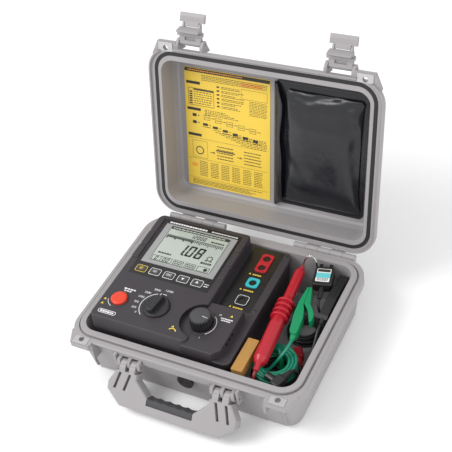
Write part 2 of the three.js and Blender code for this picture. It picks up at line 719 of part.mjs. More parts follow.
function testerBottom() {
  const { w, d } = testerHalf;
  const shell = loft(
    [
      level(TESTER.floor, w - 9, d - 9, 9),
      level(TESTER.floor + 3, w - 7, d - 7, 11),
      level(SEAM_Z - GAP, w - 0.3, d - 0.3, 12),
    ],
    testerMid.x,
    testerMid.y,
    4,
  );
  const inside = loft(
    [
      level(TESTER.floor + SKIN, w - 7 - SKIN, d - 7 - SKIN, 8),
      level(SEAM_Z + 5, w - 0.3 - SKIN, d - 0.3 - SKIN, 9),
    ],
    testerMid.x,
    testerMid.y,
    4,
  );
  const hatch = block(BATTERY.x0, BATTERY.x1, BATTERY.y0, BATTERY.y1, 0, TESTER.floor + 5);
  const posts = [];
  for (const x of [BOARD.x0 + POST.inset, BOARD.x1 - POST.inset]) {
    for (const y of [BOARD.y0 + POST.inset, BOARD.y1 - POST.inset]) {
      posts.push(rod("z", POST.r, TESTER.floor + 1, BOARD.z - GAP, x, y, 12));
    }
  }
  return join(cut(shell, inside, hatch), ...posts);
}
put("tester_bottom_case", testerBottom(), finish(testerPlastic, 0.6));

const hatchGap = (by, z0, z1) =>
  block(BATTERY.x0 + by, BATTERY.x1 - by, BATTERY.y0 + by, BATTERY.y1 - by, z0, z1);
put("battery_cover", hatchGap(GAP, TESTER.floor, TESTER.floor + 2.7), finish(testerPlastic, 0.6));

// A tray of cells lying along X, in rows side by side.
const CELL = { r: 12.8, rows: 3, length: 50 };
function batteryHolder() {
  const z0 = TESTER.floor + 3.5;
  let tray = hatchGap(1.5, z0, z0 + 3);
  const middle = (BATTERY.x0 + BATTERY.x1) / 2;
  const pitch = 2 * CELL.r + 0.5;
  for (let i = 0; i < CELL.rows; i++) {
    const y = (BATTERY.y0 + BATTERY.y1) / 2 + (i - (CELL.rows - 1) / 2) * pitch;
    const z = z0 + 2 + CELL.r;
    const rod1 = rod("x", CELL.r, middle - CELL.length - 0.5, middle - 0.5, y, z, 20);
    const rod2 = rod("x", CELL.r, middle + 0.5, middle + CELL.length + 0.5, y, z, 20);
    tray = join(tray, rod1, rod2);
  }
  return tray;
}
put("battery_holder", batteryHolder(), finish(0x2a3a5c, 0.5));

put(
  "main_board",
  block(BOARD.x0, BOARD.x1, BOARD.y0, BOARD.y1, BOARD.z, BOARD.z + BOARD.t),
  finish(0x1f6b3a, 0.5),
);

const floorZ = TESTER.floor + SKIN + GAP;
const core = block(-6, 34, -90, -40, floorZ, floorZ + 34);
const winding = block(0, 28, -94, -36, floorZ + 7, floorZ + 27);
put("high_voltage_transformer", join(core, winding), finish(0x6d5a35, 0.5, 0.3));

// The top cover, with its openings in the order they are made.
const DIAL_WELL = { r: DIAL.r + 1.3, floor: DECK_Z - 8, scoop: DIAL.r + 15.5 };
const buttonWell = { r: BUTTON.r + GAP, floor: DECK_Z - 4 };
const OVERLAY_Z = DECK_Z - 0.9; // floor of the recess for the display's overlay
const keyX = Array.from({ length: 5 }, (_, i) => KEY.x + i * KEY.pitch);
const GRIP_PADS = { y: [17, 46, 78, 111], slot: 1.6, h: 1.8 };
const BELOW = SEAM_Z - 3; // below the top cover, where its cuts start
const SPINDLE = 3; // knob and dial shaft radius
const BUTTON_STEM = 6;
const LCD_Z = DECK_Z - 3; // floor of the display's pocket
const PORT = { y: -86, pitch: 9, w: 6, slots: 3, z0: PANEL_Z + 4, z1: PANEL_Z + 11 }; // data port
const blockRight = 55.5; // right side of the raised block under the adjusting dial
const blockBack = -24;

const dialBlock = [
  [STEP_X - 6, TESTER.y0],
  [blockRight - 10, TESTER.y0],
  [blockRight, TESTER.y0 + 12],
  [blockRight, blockBack],
  [STEP_X - 6, blockBack],
];

function gripPads(x0, x1) {
  const pads = [];
  for (let i = 0; i + 1 < GRIP_PADS.y.length; i++) {
    const y0 = GRIP_PADS.y[i] + GRIP_PADS.slot / 2;
    const y1 = GRIP_PADS.y[i + 1] - GRIP_PADS.slot / 2;
    const top = DECK_Z + GRIP_PADS.h;
    pads.push(slab(x0, x1, y0, y1, 2.5, [[DECK_Z - 1, 0], [top - 0.7, 0], [top, 0.7]], 2));
  }
  return join(...pads);
}

function topCover() {
  const halfX = (STEP_X - TESTER.x0) / 2;
  const midX = (STEP_X + TESTER.x0) / 2;
  const halfY = (TESTER.y1 - TESTER.y0) / 2;
  const midY = (TESTER.y1 + TESTER.y0) / 2;
  const lean = 2.5; // half of how far the front face leans back
  const deckBlock = loft(
    [
      level(SEAM_Z, halfX, halfY, 10),
      level(PANEL_Z, halfX, halfY, 10),
      level(DECK_Z - 1.2, halfX, halfY - lean, 8, lean),
      level(DECK_Z, halfX - 1.2, halfY - lean - 1.2, 7, lean),
    ],
    midX,
    midY,
    4,
  );
  const panel = slab(STEP_X - 20, TESTER.x1, TESTER.y0, TESTER.y1, 10, [
    [SEAM_Z, 0],
    [PANEL_Z - 0.8, 0],
    [PANEL_Z, 0.8],
  ]);
  let body = join(deckBlock, panel, plate(dialBlock, SEAM_Z + 1, DIAL_DECK_Z, 1));

  const hollowLeft = slab(
    TESTER.x0 + SKIN,
    STEP_X - SKIN,
    TESTER.y0 + 6,
    TESTER.y1 - 4,
    8,
    [
      [SEAM_Z - 1, 0],
      [CEILING, 0],
    ],
    3,
  );
  const hollowRight = block(
    STEP_X - SKIN - 1,
    blockRight - SKIN,
    TESTER.y0 + 13,
    blockBack - SKIN,
    SEAM_Z - 1,
    DIAL_DECK_Z - SKIN,
  );
  body = cut(body, hollowLeft, hollowRight);
  const { r: wellR, floor: wellFloor, scoop: scoopR } = DIAL_WELL;
  const dialPuck = rod("z", scoopR + 2, wellFloor - 4, wellFloor + 3, DIAL.x, DIAL.y, 40);
  const puckRoom = block(TESTER.x0 + 5, blockRight - 2, TESTER.y0 + 5, blockBack - 2, BELOW, DECK_Z);
  body = join(body, dialPuck.intersect(puckRoom));

  // The deck is scooped out beside the dial, and the dial stands in a round well.
  const scoop = rod("z", scoopR, wellFloor, DECK_Z + 5, DIAL.x, DIAL.y, 48);
  const scoopSide = block(TESTER.x0, STEP_X + 0.5, TESTER.y0, TESTER.y1, BELOW, DECK_Z + 6);
  body = cut(body, scoop.intersect(scoopSide));
  body = cut(body, rod("z", wellR, wellFloor, DECK_Z, DIAL.x, DIAL.y, 40));
  body = cut(body, rod("z", SPINDLE + GAP, BELOW, DECK_Z, DIAL.x, DIAL.y, 12));

  body = cut(
    body,
    rod("z", buttonWell.r, buttonWell.floor, DECK_Z + 1, BUTTON.x, BUTTON.y, 32),
    rod("z", BUTTON_STEM + GAP, BELOW, DECK_Z, BUTTON.x, BUTTON.y, 24),
    rod("z", SPINDLE + GAP, BELOW, DECK_Z + 1, KNOB.x, KNOB.y, 12),
  );

  const overlay = block(
    DISPLAY.x0,
    DISPLAY.x1,
    DISPLAY.y0,
    DISPLAY.y1,
    OVERLAY_Z,
    DECK_Z + 5,
  );
  const window = block(
    LCD.x0 - GAP,
    LCD.x1 + GAP,
    LCD.y0 - GAP,
    LCD.y1 + GAP,
    LCD_Z,
    DECK_Z + 5,
  );
  const keyHoles = keyX.map((x) => keyBlock(x, GAP, BELOW, DECK_Z + 5));
  body = cut(body, overlay, window, ...keyHoles);

  const left = gripPads(TESTER.x0 + 0.8, DISPLAY.x0 - 1.2);
  const right = gripPads(DISPLAY.x1 + 1, STEP_X - 0.4);
  body = join(body, left, right);

  for (const seat of terminalSeats) body = cut(body, seat);
  for (let i = 0; i < PORT.slots; i++) {
    const y = PORT.y + i * PORT.pitch;
    body = cut(body, block(blockRight - 5, blockRight + 2, y, y + PORT.w, PORT.z0, PORT.z1));
  }
  return body;
}

const keyBlock = (x, by, z0, z1) =>
  block(
    x - KEY.w / 2 - by,
    x + KEY.w / 2 + by,
    KEY.y - KEY.d / 2 - by,
    KEY.y + KEY.d / 2 + by,
    z0,
    z1,
  );

// Terminals: a coloured plate with a socket sleeve under each hole.
const TERMINALS = [
  { name: "line_terminal", half: [9.5, 19.5], y: 85, holes: JACK.line, color: red },
  { name: "guard_terminal", half: [9.2, 9.2], y: JACK.guard, holes: [JACK.guard], color: green },
  { name: "earth_terminal", half: [9.2, 9.2], y: JACK.earth, holes: [JACK.earth], color: black },
];
const terminalSeats = TERMINALS.flatMap((t) =>
  t.holes.map((y) => rod("z", JACK.sleeve + GAP, BELOW, PANEL_Z + 1, JACK.x, y)),
);
function terminal({ half, y, holes }) {
  const [w, d] = half;
  const top = PANEL_Z + 1.9;
  const steps = [[PANEL_Z + GAP, 0], [top - 0.5, 0], [top, 0.5]];
  let body = slab(JACK.x - w, JACK.x + w, y - d, y + d, 2, steps, 2);
  for (const hole of holes) {
    const sleeve = rod("z", JACK.sleeve, PANEL_Z - 18, PANEL_Z + 1, JACK.x, hole);
    body = join(body, sleeve);
  }
  const bores = holes.map((hole) => rod("z", JACK.r, PANEL_Z - 16, PANEL_Z + 5, JACK.x, hole));
  return cut(body, ...bores);
}

put("tester_top_cover", topCover(), finish(testerPlastic, 0.6));

function displayOverlay() {
  const sheet = block(
    DISPLAY.x0 + GAP,
    DISPLAY.x1 - GAP,
    DISPLAY.y0 + GAP,
    DISPLAY.y1 - GAP,
    OVERLAY_Z + GAP,
    DECK_Z + 0.1,
  );
  const window = block(
    LCD.x0 - GAP,
    LCD.x1 + GAP,
    LCD.y0 - GAP,
    LCD.y1 + GAP,
    LCD_Z,
    DECK_Z + 5,
  );
  return cut(sheet, window, ...keyX.map((x) => keyBlock(x, GAP, BELOW, DECK_Z + 5)));
}
put("display_overlay", displayOverlay(), finish(black, 0.35));
put(
  "display_panel",
  block(LCD.x0, LCD.x1, LCD.y0, LCD.y1, LCD_Z + GAP, DECK_Z + 0.8),
  finish(0x9fa39a, 0.25),
);

const KEY_NAMES = ["backlight", "save", "function", "down", "up"];
KEY_NAMES.forEach((name, i) => {
  const top = DECK_Z + 1.4;
  put("key_" + name, keyBlock(keyX[i], 0, DECK_Z - 7, top), finish(0x3b3a3e, 0.6));
});

// The test button presses down on its stem, and its cap also turns on the stem to lock.
const stemTop = DECK_Z + 2;
put(
  "test_button_stem",
  rod("z", BUTTON_STEM, DECK_Z - 14, stemTop, BUTTON.x, BUTTON.y),
  finish(0x2b2a2d, 0.5),
);
const capTop = DECK_Z + 5;
const cap = turned([
  [0, DECK_Z - 0.4],
  [BUTTON.r, DECK_Z - 0.4],
  [BUTTON.r, capTop - 2],
  [BUTTON.r - 2, capTop - 0.4],
  [BUTTON.r - 5, capTop],
  [0, capTop],
]).translate([BUTTON.x, BUTTON.y, 0]);
const capBore = rod("z", BUTTON_STEM + GAP, DECK_Z - 5, stemTop + GAP, BUTTON.x, BUTTON.y);
put("test_button", cut(cap, capBore), finish(0xc9432f, 0.45));

// Range knob: a round skirt with a bar across it, turned to point at the chosen range.
const KNOB_BAR = { length: 36, width: 11, z: DECK_Z + 13, deg: 82 };
const knobGroup = new THREE.Group();
knobGroup.position.set(KNOB.x, KNOB.y, 0);
knobGroup.rotation.z = THREE.MathUtils.degToRad(KNOB_BAR.deg);
group.add(knobGroup);
const skirt = turned([
  [0, DECK_Z + GAP],
  [KNOB.r, DECK_Z + GAP],
  [KNOB.r, DECK_Z + 3],
  [KNOB.r - 1.4, DECK_Z + 4.4],
  [0, DECK_Z + 4.4],
]);
const bar = slab(
  -KNOB_BAR.length / 2,
  KNOB_BAR.length / 2,
  -KNOB_BAR.width / 2,
  KNOB_BAR.width / 2,
  4.5,
  [
    [DECK_Z + 3, 0],
    [KNOB_BAR.z - 1.2, 0.5],
    [KNOB_BAR.z, 1.7],
  ],
);
const knobStem = rod("z", SPINDLE, DECK_Z - 30, DECK_Z + 4, 0, 0, 12);
put("range_knob", join(skirt, bar, knobStem), finish(0x58545a, 0.55), knobGroup);

// Adjusting dial, scalloped round its edge.
function adjustDial() {
  const scallops = 24;
  const outline = new THREE.Shape();
  for (let i = 0; i < 2 * scallops; i++) {
    const r = i % 2 ? DIAL.r - 0.9 : DIAL.r;
    const a = (i * Math.PI) / scallops;
    outline[i ? "lineTo" : "moveTo"](r * Math.cos(a), r * Math.sin(a));
  }
  const z0 = DIAL_WELL.floor + 0.5;
  const shape = new THREE.ExtrudeGeometry(outline, {
    depth: DIAL.top - z0 - 1.6,
    bevelSize: 1,
    bevelOffset: -1,
    bevelThickness: 0.8,
    bevelSegments: 1,
  });
  const head = toSolid(shape.translate(DIAL.x, DIAL.y, z0 + 0.8));
  return join(head, rod("z", SPINDLE, DIAL.top - 45, z0 + 2, DIAL.x, DIAL.y, 12));
}
put("adjust_dial", adjustDial(), finish(0x3f3d42, 0.6));

for (const t of TERMINALS) put(t.name, terminal(t), finish(t.color, 0.45));

// ---------------------------------------------------------------- stowed accessories
// A group whose Z axis runs from one point towards another, with its X axis level.
function along(from, to, roll = 0) {
  const start = new THREE.Vector3(...from);
  const z = new THREE.Vector3(...to).sub(start).normalize();
  const x = new THREE.Vector3(0, 0, 1).cross(z).normalize();
  const y = z.clone().cross(x);
  const frame = new THREE.Group();
  frame.position.copy(start);
  frame.setRotationFromMatrix(new THREE.Matrix4().makeBasis(x, y, z));
  frame.rotateZ(roll);
  group.add(frame);
  return frame;
}

// A round bar or cord along a smooth curve through some points.
function tube(points, r, sides, stepLength) {
  const curve = new THREE.CatmullRomCurve3(points.map((p) => new THREE.Vector3(...p)));
  const section = new THREE.Shape();
  for (let i = 0; i < sides; i++) {
    const a = (2 * Math.PI * i) / sides;
    section[i ? "lineTo" : "moveTo"](r * Math.cos(a), r * Math.sin(a));
  }
  const steps = Math.max(4, Math.round(curve.getLength() / stepLength));
  return toSolid(new THREE.ExtrudeGeometry(section, { steps, extrudePath: curve }));
}

// An outline in a frame's own X-Z plane, with the same thickness each side of it.
function flat(points, half) {
  const shape = new THREE.Shape(points.map(([x, z]) => new THREE.Vector2(x, z)));
  const geometry = new THREE.ExtrudeGeometry(shape, { depth: 2 * half, bevelEnabled: false });
  return toSolid(geometry.translate(0, 0, -half).rotateX(Math.PI / 2));
}

// Line probe, with its four guard rings and the chrome hook on its tip.
const PROBE = {
  tip: [91, 105, STOW_Z],
  tail: [107, -102, STOW_Z],
  length: 207.6,
  ring: 14,
  grip: 11,
};
function probeBody() {
  const profile = [
    [0, 0],
    [2.2, 0],
    [5.5, 9],
    [8, 16],
    [8, 70],
    [9.5, 76],
  ];
  for (let i = 0; i < 4; i++) {
    const s = 78 + 9.6 * i;
    profile.push([PROBE.ring - 1, s], [PROBE.ring, s + 0.8], [PROBE.ring - 0.6, s + 3.4]);
    profile.push([9.5, s + 4.4]);
  }
  profile.push(
    [PROBE.grip, 122],
    [PROBE.grip, 186],
    [8, 193],
    [4.6, 196],
    [3.8, PROBE.length],
    [0, PROBE.length],
  );
  return turned(profile, 20);
}
put("probe_body", probeBody(), finish(red, 0.45), along(PROBE.tip, PROBE.tail));

const hook = tube(
  [
    [90.9, 106.3, STOW_Z],
    [92.3, 109, STOW_Z + 7],
    [96, 111, STOW_Z + 14.5],
    [101.5, 112.2, STOW_Z + 18],
    [107.5, 111.8, STOW_Z + 15.5],
    [111.2, 110.4, STOW_Z + 9],
    [112.3, 108.8, STOW_Z + 1],
  ],
  1.3,
  8,
  4,
);
put("probe_hook", hook, finish(0xd5d6d8, 0.15, 1));

// Spring clips: a body half and a lever half that pivots on it to open the jaws.
const CLIP = { length: 90, half: 7, pivot: [2.5, 36], gap: 0.2 };
const clipBodyOutline = [
  [-3.2, 0],
  [-CLIP.gap, 0],
  [-CLIP.gap, 34],
  [3.4, 44],
  [6, 60],
  [5.5, 84],
  [3.8, CLIP.length],
  [-3.8, CLIP.length],
  [-6.5, 84],
  [-9, 50],
  [-8, 30],
  [-5, 10],
];
const clipLeverOutline = [
  [CLIP.gap, 0],
  [3.2, 0],
  [6, 12],
  [9, 30],
  [17, 44],
  [20, 54],
  [19, 64],
  [16, 64],
  [12, 52],
  [9, 44],
  [5, 38],
  [CLIP.gap, 32],
];
const guardZ = STOW_Z + 1;
const earthZ = STOW_Z - 5;
const clips = [
  { name: "guard", tip: [121, 61, guardZ], tail: [132, -28, guardZ], roll: 0, color: green },
  {
    name: "earth",
    tip: [157.3, 107, earthZ],
    tail: [157.3, 17, earthZ],
    roll: -Math.PI / 2,
    color: black,
  },
];
for (const clip of clips) {
  const frame = along(clip.tip, clip.tail, clip.roll);
  // The tail tapers to a sleeve that the lead comes out of.
  const sleeve = rod("z", 5.4, CLIP.length - 4, CLIP.length + 8, 0, 0, 12, 3.4);
  const body = join(flat(clipBodyOutline, CLIP.half), sleeve);
  put(clip.name + "_clip_body", body, finish(clip.color, 0.5), frame);
  const lever = flat(clipLeverOutline, CLIP.half);
  put(clip.name + "_clip_lever", lever, finish(clip.color, 0.5), frame);
}

// Optical communication adapter: prongs at one end, the strain relief at the other.
const adapter = new THREE.Group();
adapter.position.set(131, 89, STOW_Z + 0.5);
adapter.rotation.z = THREE.MathUtils.degToRad(12);
group.add(adapter);
const adapterCase = slab(-14.5, 14.5, -18.5, 18.5, 4, [
  [-8, 1],
  [-6.5, 0],
  [6.5, 0],
  [8.5, 1.5],
]);
const prongs = [-7.5, 7.5].map((x) => block(x - 2.5, x + 2.5, 17, 27, -4, 4));
const relief = rod("y", 2.8, -38, -17, 0, -2, 12, 4.6);
put("optical_adapter", join(adapterCase, ...prongs, relief), finish(0x232226, 0.5), adapter);

const paperSteps = [[STOW_Z - 13.8, 0], [STOW_Z + 2, 0]];
const paperBox = slab(73.5, 90.5, -112, -52, 1.5, paperSteps, 2);
put("paper_box", paperBox, finish(0xb08a5a, 0.85));

// ---------------------------------------------------------------- leads
// Each lead is a free stretch, a coil and a plug.
const COIL_FLOOR = WALL + 1;
const frontStack = [118, -66];
const backStack = [117, 40];
const LEADS = {
  line: {
    r: LINE_CORD / 2,
    centre: frontStack,
    coil: { mid: 28.5, width: 20, z0: COIL_FLOOR, height: 24 },
    color: 0x8c1f28,
    route: [
      [107.05, -102.7, 80],
      [107.2, -106.2, 79.4],
      [107.3, -109.8, 76],
      [107.3, -112, 70],
      [107.3, -112.4, 60],
      [107.3, -111.9, 48],
      [107.4, -111.2, 36],
      [108.5, -110.2, 26],
      [112, -109.2, 18.5],
      [118, -108.3, 15.5],
      [123, -107.6, 15],
    ],
  },
  earth: {
    r: LINE_CORD / 2,
    centre: frontStack,
    coil: { mid: 29.5, width: 15, z0: COIL_FLOOR + 24 + GAP, height: 18 },
    color: black,
    route: [
      [157.3, 8.5, 75],
      [157.7, -1, 73],
      [158.4, -13, 66],
      [158.2, -26, 56],
      [158, -38, 47],
      [157.8, -50, 40.5],
      [157.3, -61, 38.3],
    ],
  },
  guard: {
    r: LINE_CORD / 2,
    centre: frontStack,
    coil: { mid: 25.5, width: 15, z0: COIL_FLOOR + 42 + 2 * GAP, height: 18 },
    color: green,
    route: [
      [133.05, -36.9, 81],
      [132.9, -42, 80.6],
      [131.5, -50, 78.5],
      [128, -58, 74],
      [123, -65, 67.5],
      [117.5, -71, 60.5],
      [113, -76.3, 55.8],
      [110.1, -80.2, 54.4],
    ],
  },
  usb: {
    r: USB_CORD / 2,
    centre: backStack,
    coil: { mid: 22, width: 12, z0: COIL_FLOOR, height: 16 },
    color: black,
    route: [
      [139.1, 49.9, 78.3],
      [140.4, 44, 76.4],
      [142.8, 39, 70.5],
      [145.6, 38.4, 60],
      [147.5, 40.5, 46],
      [148.4, 43, 32],
      [148.2, 41, 21],
      [147.2, 34, 14.5],
      [145.6, 28, 13],
    ],
  },
};

function coilRing({ centre, coil }) {
  const inner = coil.mid - coil.width / 2;
  const outer = coil.mid + coil.width / 2;
  const top = coil.z0 + coil.height;
  const round = 2.2;
  const ring = [
    [inner, coil.z0 + round],
    [inner + round, coil.z0],
    [outer - round, coil.z0],
    [outer, coil.z0 + round],
    [outer, top - round],
    [outer - round, top],
    [inner + round, top],
    [inner, top - round],
    [inner, coil.z0 + round],
  ];
  return turned(ring, 32).translate([...centre, 0]);
}

for (const [name, lead] of Object.entries(LEADS)) {
  const material = () => finish(lead.color, 0.5);
  put(name + "_lead", tube(lead.route, lead.r, 8, lead.r * 5), material());
  put(name + "_coil", coilRing(lead), material());
}

// Right-angled plug: the cord enters along Z, and the shroud points sideways along X.
const PLUG = { boot: 16, half: 7, length: 34, shroud: 5.5 };
function anglePlug(shroudLength) {
  const boot = rod("z", 3.4, 0, PLUG.boot, 0, 0, 12, 5.6);
  const body = slab(-PLUG.half, PLUG.half, -PLUG.half, PLUG.half, 2.5, [
    [PLUG.boot - 1, 0.8],
    [PLUG.boot + 1, 0],
    [PLUG.length - 1.5, 0],
    [PLUG.length, 1.2],
  ]);
  const middle = (PLUG.boot + PLUG.length) / 2;
  const [x0, x1] = shroudLength > 0 ? [5, shroudLength] : [shroudLength, -5];
  return join(boot, body, rod("x", PLUG.shroud, x0, x1, 0, middle, 16));
}
const lineFrame = along([137.2, -27.2, 12.3], [120.2, 2.2, 12.3]);
put("line_plug", anglePlug(22), finish(red, 0.45), lineFrame);
const earthPlugZ = STOW_Z - 6.7;
const earthFrame = along([150.4, -82, earthPlugZ], [138.8, -114, earthPlugZ]);
put("earth_plug", anglePlug(-21), finish(black, 0.5), earthFrame);

// The guard plug is straight, and stands in the middle of the coils with its cord on top.
const guardPlug = turned(
  [
    [0, 8],
    [5.5, 8],
    [5.5, 26],
    [6.4, 27],
    [6.4, 44],
    [5, 46],
    [3.2, 60],
    [0, 60],
  ],
  16,
).translate([122.5, -56, 0]);
put("guard_plug", guardPlug, finish(green, 0.45));

const usbShell = block(-6, 6, -2.25, 2.25, 30, 48);
const usbGrip = slab(-8, 8, -4, 4, 2, [[12, 0.5], [14, 0], [31, 0], [32, 0.5]], 2);
const usbBoot = rod("z", 2.6, 0, 13, 0, 0, 12, 3.8);
const usbFrame = along([91, 58, 9.3], [91, 106, 9.3]);
put("usb_plug", join(usbShell, usbGrip, usbBoot), finish(black, 0.5), usbFrame);

export default group;
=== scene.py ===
# %% [markdown]
# # An insulation resistance tester in its carrying case
# An electrician's tester sits in a hard case beside its leads. The moving model, the frame, is
# packed already: every hard piece has its place and its joint. This lesson gives the pieces
# their finishes, lays the leads, sews the document pouch and adds the small printed and
# moulded details. Everything is in metres, in the frame's own axes: X to the right, Y from
# the handle back to the hinge, Z up.

# %% Load the frame
import json
import math
import random

import bmesh
import bpy
from mathutils import Euler, Matrix, Vector


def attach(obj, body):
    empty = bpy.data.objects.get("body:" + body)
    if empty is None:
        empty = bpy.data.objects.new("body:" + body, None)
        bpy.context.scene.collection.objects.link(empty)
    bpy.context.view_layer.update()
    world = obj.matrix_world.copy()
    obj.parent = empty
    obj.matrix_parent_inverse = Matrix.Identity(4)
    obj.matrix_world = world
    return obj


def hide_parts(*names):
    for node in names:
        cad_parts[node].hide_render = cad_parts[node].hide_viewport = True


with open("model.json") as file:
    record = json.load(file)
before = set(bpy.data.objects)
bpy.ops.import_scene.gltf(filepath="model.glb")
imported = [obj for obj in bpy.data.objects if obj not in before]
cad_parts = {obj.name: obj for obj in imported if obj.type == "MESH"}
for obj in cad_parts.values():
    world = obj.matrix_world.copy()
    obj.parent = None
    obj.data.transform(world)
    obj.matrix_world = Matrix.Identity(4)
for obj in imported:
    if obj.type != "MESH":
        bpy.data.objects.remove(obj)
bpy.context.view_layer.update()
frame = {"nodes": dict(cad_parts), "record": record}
nodes = frame["nodes"]

# %% [markdown]
# ## The camera
# A long lens looks down at the open case from its front right corner, as a catalogue picture
# does. The shift slides the picture without turning the camera, so upright edges keep their
# lean.

# %% Camera
eye = bpy.data.cameras.new("camera")
eye.lens = 77.5
eye.sensor_width = 36
eye.shift_x = 0.0127
eye.shift_y = 0.0435
eye.clip_start = 0.05
camera = bpy.data.objects.new("camera", eye)
camera.location = (0.5656, -0.8126, 1.13095)
camera.rotation_euler = Euler([math.radians(a) for a in (45.896, 7.844, 26.312)])
bpy.context.scene.collection.objects.link(camera)
bpy.context.scene.camera = camera

# %% [markdown]
# ## The leads
# Each lead leaves its probe or clip, drops in a free curve and ends in a coil with its plug.
# A coil is a stack of turns: each turn keeps to one slot, a column across and a row up, and
# slides over to the next slot at its end. The free stretch repeats the frame's own route.

# %% Helpers for routes
MM = 0.001
LINE_CORD = 0.005
USB_CORD = 0.004
TURN_STEPS = 28


def smooth(t):
    t = min(1, max(0, t))
    return t * t * (3 - 2 * t)


def coil(centre, columns, rows, slots, start, way):
    """Points round a coil. columns are radii, rows are heights, and way is 1 anticlockwise."""
    points = []
    for i in range(len(slots) * TURN_STEPS + 1):
        turn, part = divmod(i, TURN_STEPS)
        here = slots[min(turn, len(slots) - 1)]
        after = slots[min(turn + 1, len(slots) - 1)]
        slide = smooth((part / TURN_STEPS - 0.7) / 0.3)
        radius = columns[here[0]] * (1 - slide) + columns[after[0]] * slide
        height = rows[here[1]] * (1 - slide) + rows[after[1]] * slide
        angle = math.radians(start) + way * 2 * math.pi * i / TURN_STEPS
        radius += 0.25 * math.sin(3 * angle + turn)
        spot = (centre[0] + radius * math.cos(angle), centre[1] + radius * math.sin(angle))
        points.append((*spot, height))
    return points


def rounded_route(points, step=2.5):
    """A smooth line through the points, with a point every step of its length."""
    spots = [Vector(p) for p in points]
    ends = [2 * spots[0] - spots[1], *spots, 2 * spots[-1] - spots[-2]]
    line = []
    for a, b, c, d in zip(ends, ends[1:], ends[2:], ends[3:]):
        count = max(1, round((c - b).length / step))
        for k in range(count):
            t = k / count
            line.append(
                0.5
                * (
                    2 * b
                    + (c - a) * t
                    + (2 * a - 5 * b + 4 * c - d) * t * t
                    + (3 * b - a - 3 * c + d) * t**3
                )
            )
    line.append(spots[-1])
    return line


def length_of(line):
    return sum((b - a).length for a, b in zip(line, line[1:]))


def mesh_of(source):
    """The finished mesh of a curve, a text or a piece with modifiers."""
    bpy.context.scene.collection.objects.link(source)
    shown = source.evaluated_get(bpy.context.evaluated_depsgraph_get())
    mesh = bpy.data.meshes.new_from_object(shown)
    bpy.data.objects.remove(source)
    return mesh


def cord_piece(name, line, diameter):
    """A curve along the line gives the tube, and its mesh is kept."""
    data = bpy.data.curves.new(name, "CURVE")
    data.dimensions = "3D"
    data.bevel_depth = diameter / 2
    data.bevel_resolution = 3
    data.use_fill_caps = True
    spline = data.splines.new("POLY")
    spline.points.add(len(line) - 1)
    for point, spot in zip(spline.points, line):
        point.co = (*(spot * MM), 1)
    spline.use_smooth = True
    mesh = mesh_of(bpy.data.objects.new(name, data))
    mesh.materials.clear()
    mesh.shade_smooth()
    piece = bpy.data.objects.new(name, mesh)
    bpy.context.scene.collection.objects.link(piece)
    return piece


# %% Line lead: nearly sixteen turns at the bottom of the front stack
FRONT = (118, -66)
BACK = (117, 40)
line_free = [
    (107.05, -102.7, 80),
    (107.2, -106.2, 79.4),
    (107.3, -109.8, 76),
    (107.3, -112, 70),
    (107.3, -112.4, 60),
    (107.3, -111.9, 48),
    (107.4, -111.2, 36),
    (108.5, -110.2, 26),
    (112, -109.2, 18.5),
    (118, -107.6, 14.5),
]
line_columns = [21, 26, 31, 36]
line_rows = [7.6, 13.3, 19, 26.4]
line_slots = [(c, 0) for c in (3, 2, 1, 0)]
line_slots += [(c, 1) for c in (0, 1, 2, 3)]
line_slots += [(c, 2) for c in (3, 2, 1, 0)]
line_slots += [(c, 3) for c in (0, 1, 2, 3)]
line_coil = coil(FRONT, line_columns, line_rows, line_slots, -70, 1)
line_tail = [(149.2, -48, 19), (143.5, -38, 14.5), (139, -30.3, 12.6), (136.8, -26.5, 12.3)]
cut = next(
    i
    for i in range(len(line_coil) - TURN_STEPS, len(line_coil))
    if line_coil[i][0] > FRONT[0] and line_coil[i][1] > FRONT[1] + 10
)
line_line = rounded_route(line_free + line_coil[:cut] + line_tail)

# %% Earth lead: nearly seven turns above it, then up to its plug
earth_free = [
    (157.3, 8.1, 75),
    (157.7, -1, 73),
    (158.4, -13, 66),
    (158.2, -26, 56),
    (158, -38, 47),
    (157.8, -50, 40.5),
    (156.5, -62, 37.5),
]
earth_columns = [24.5, 29.5, 34.3]
earth_rows = [32, 38, 44.4]
earth_slots = [(2, 1), (2, 0), (1, 0), (0, 0), (0, 1), (1, 1), (1, 2)]
earth_coil = coil(FRONT, earth_columns, earth_rows, earth_slots, -8, -1)
earth_tail = [
    (148.8, -61.8, 46.8),
    (151.6, -66.5, 52.5),
    (153.6, -71, 60),
    (153.6, -75.2, 67.5),
    (152, -79, 72),
    (150, -83, 73.3),
]
earth_line = rounded_route(earth_free + earth_coil[:-3] + earth_tail)

# %% Guard lead: nine turns on top, and its plug stands in the middle
guard_free = [
    (133.05, -36.3, 81),
    (132.9, -42, 80.6),
    (131.5, -50, 78.5),
    (128, -58, 74),
    (123, -65, 67.5),
    (117.5, -71, 60.5),
    (113, -76.3, 55.8),
]
guard_columns = [20.7, 25.5, 30.4]
guard_rows = [50.4, 56.4, 62.8]
guard_slots = [(0, 1), (0, 0), (1, 0), (2, 0), (2, 1), (1, 1), (2, 2), (1, 2), (0, 2)]
guard_coil = coil(FRONT, guard_columns, guard_rows, guard_slots, -135, -1)
guard_tail = [
    (99.6, -76.5, 65),
    (97.6, -69, 67.2),
    (97.8, -61, 67.3),
    (101, -54, 66.2),
    (107, -49.2, 65.7),
    (113.8, -48, 68),
    (119.4, -50.6, 70),
    (122.1, -54.3, 67.8),
    (122.5, -56, 63),
    (122.5, -56, 59.5),
]
guard_line = rounded_route(guard_free + guard_coil + guard_tail)

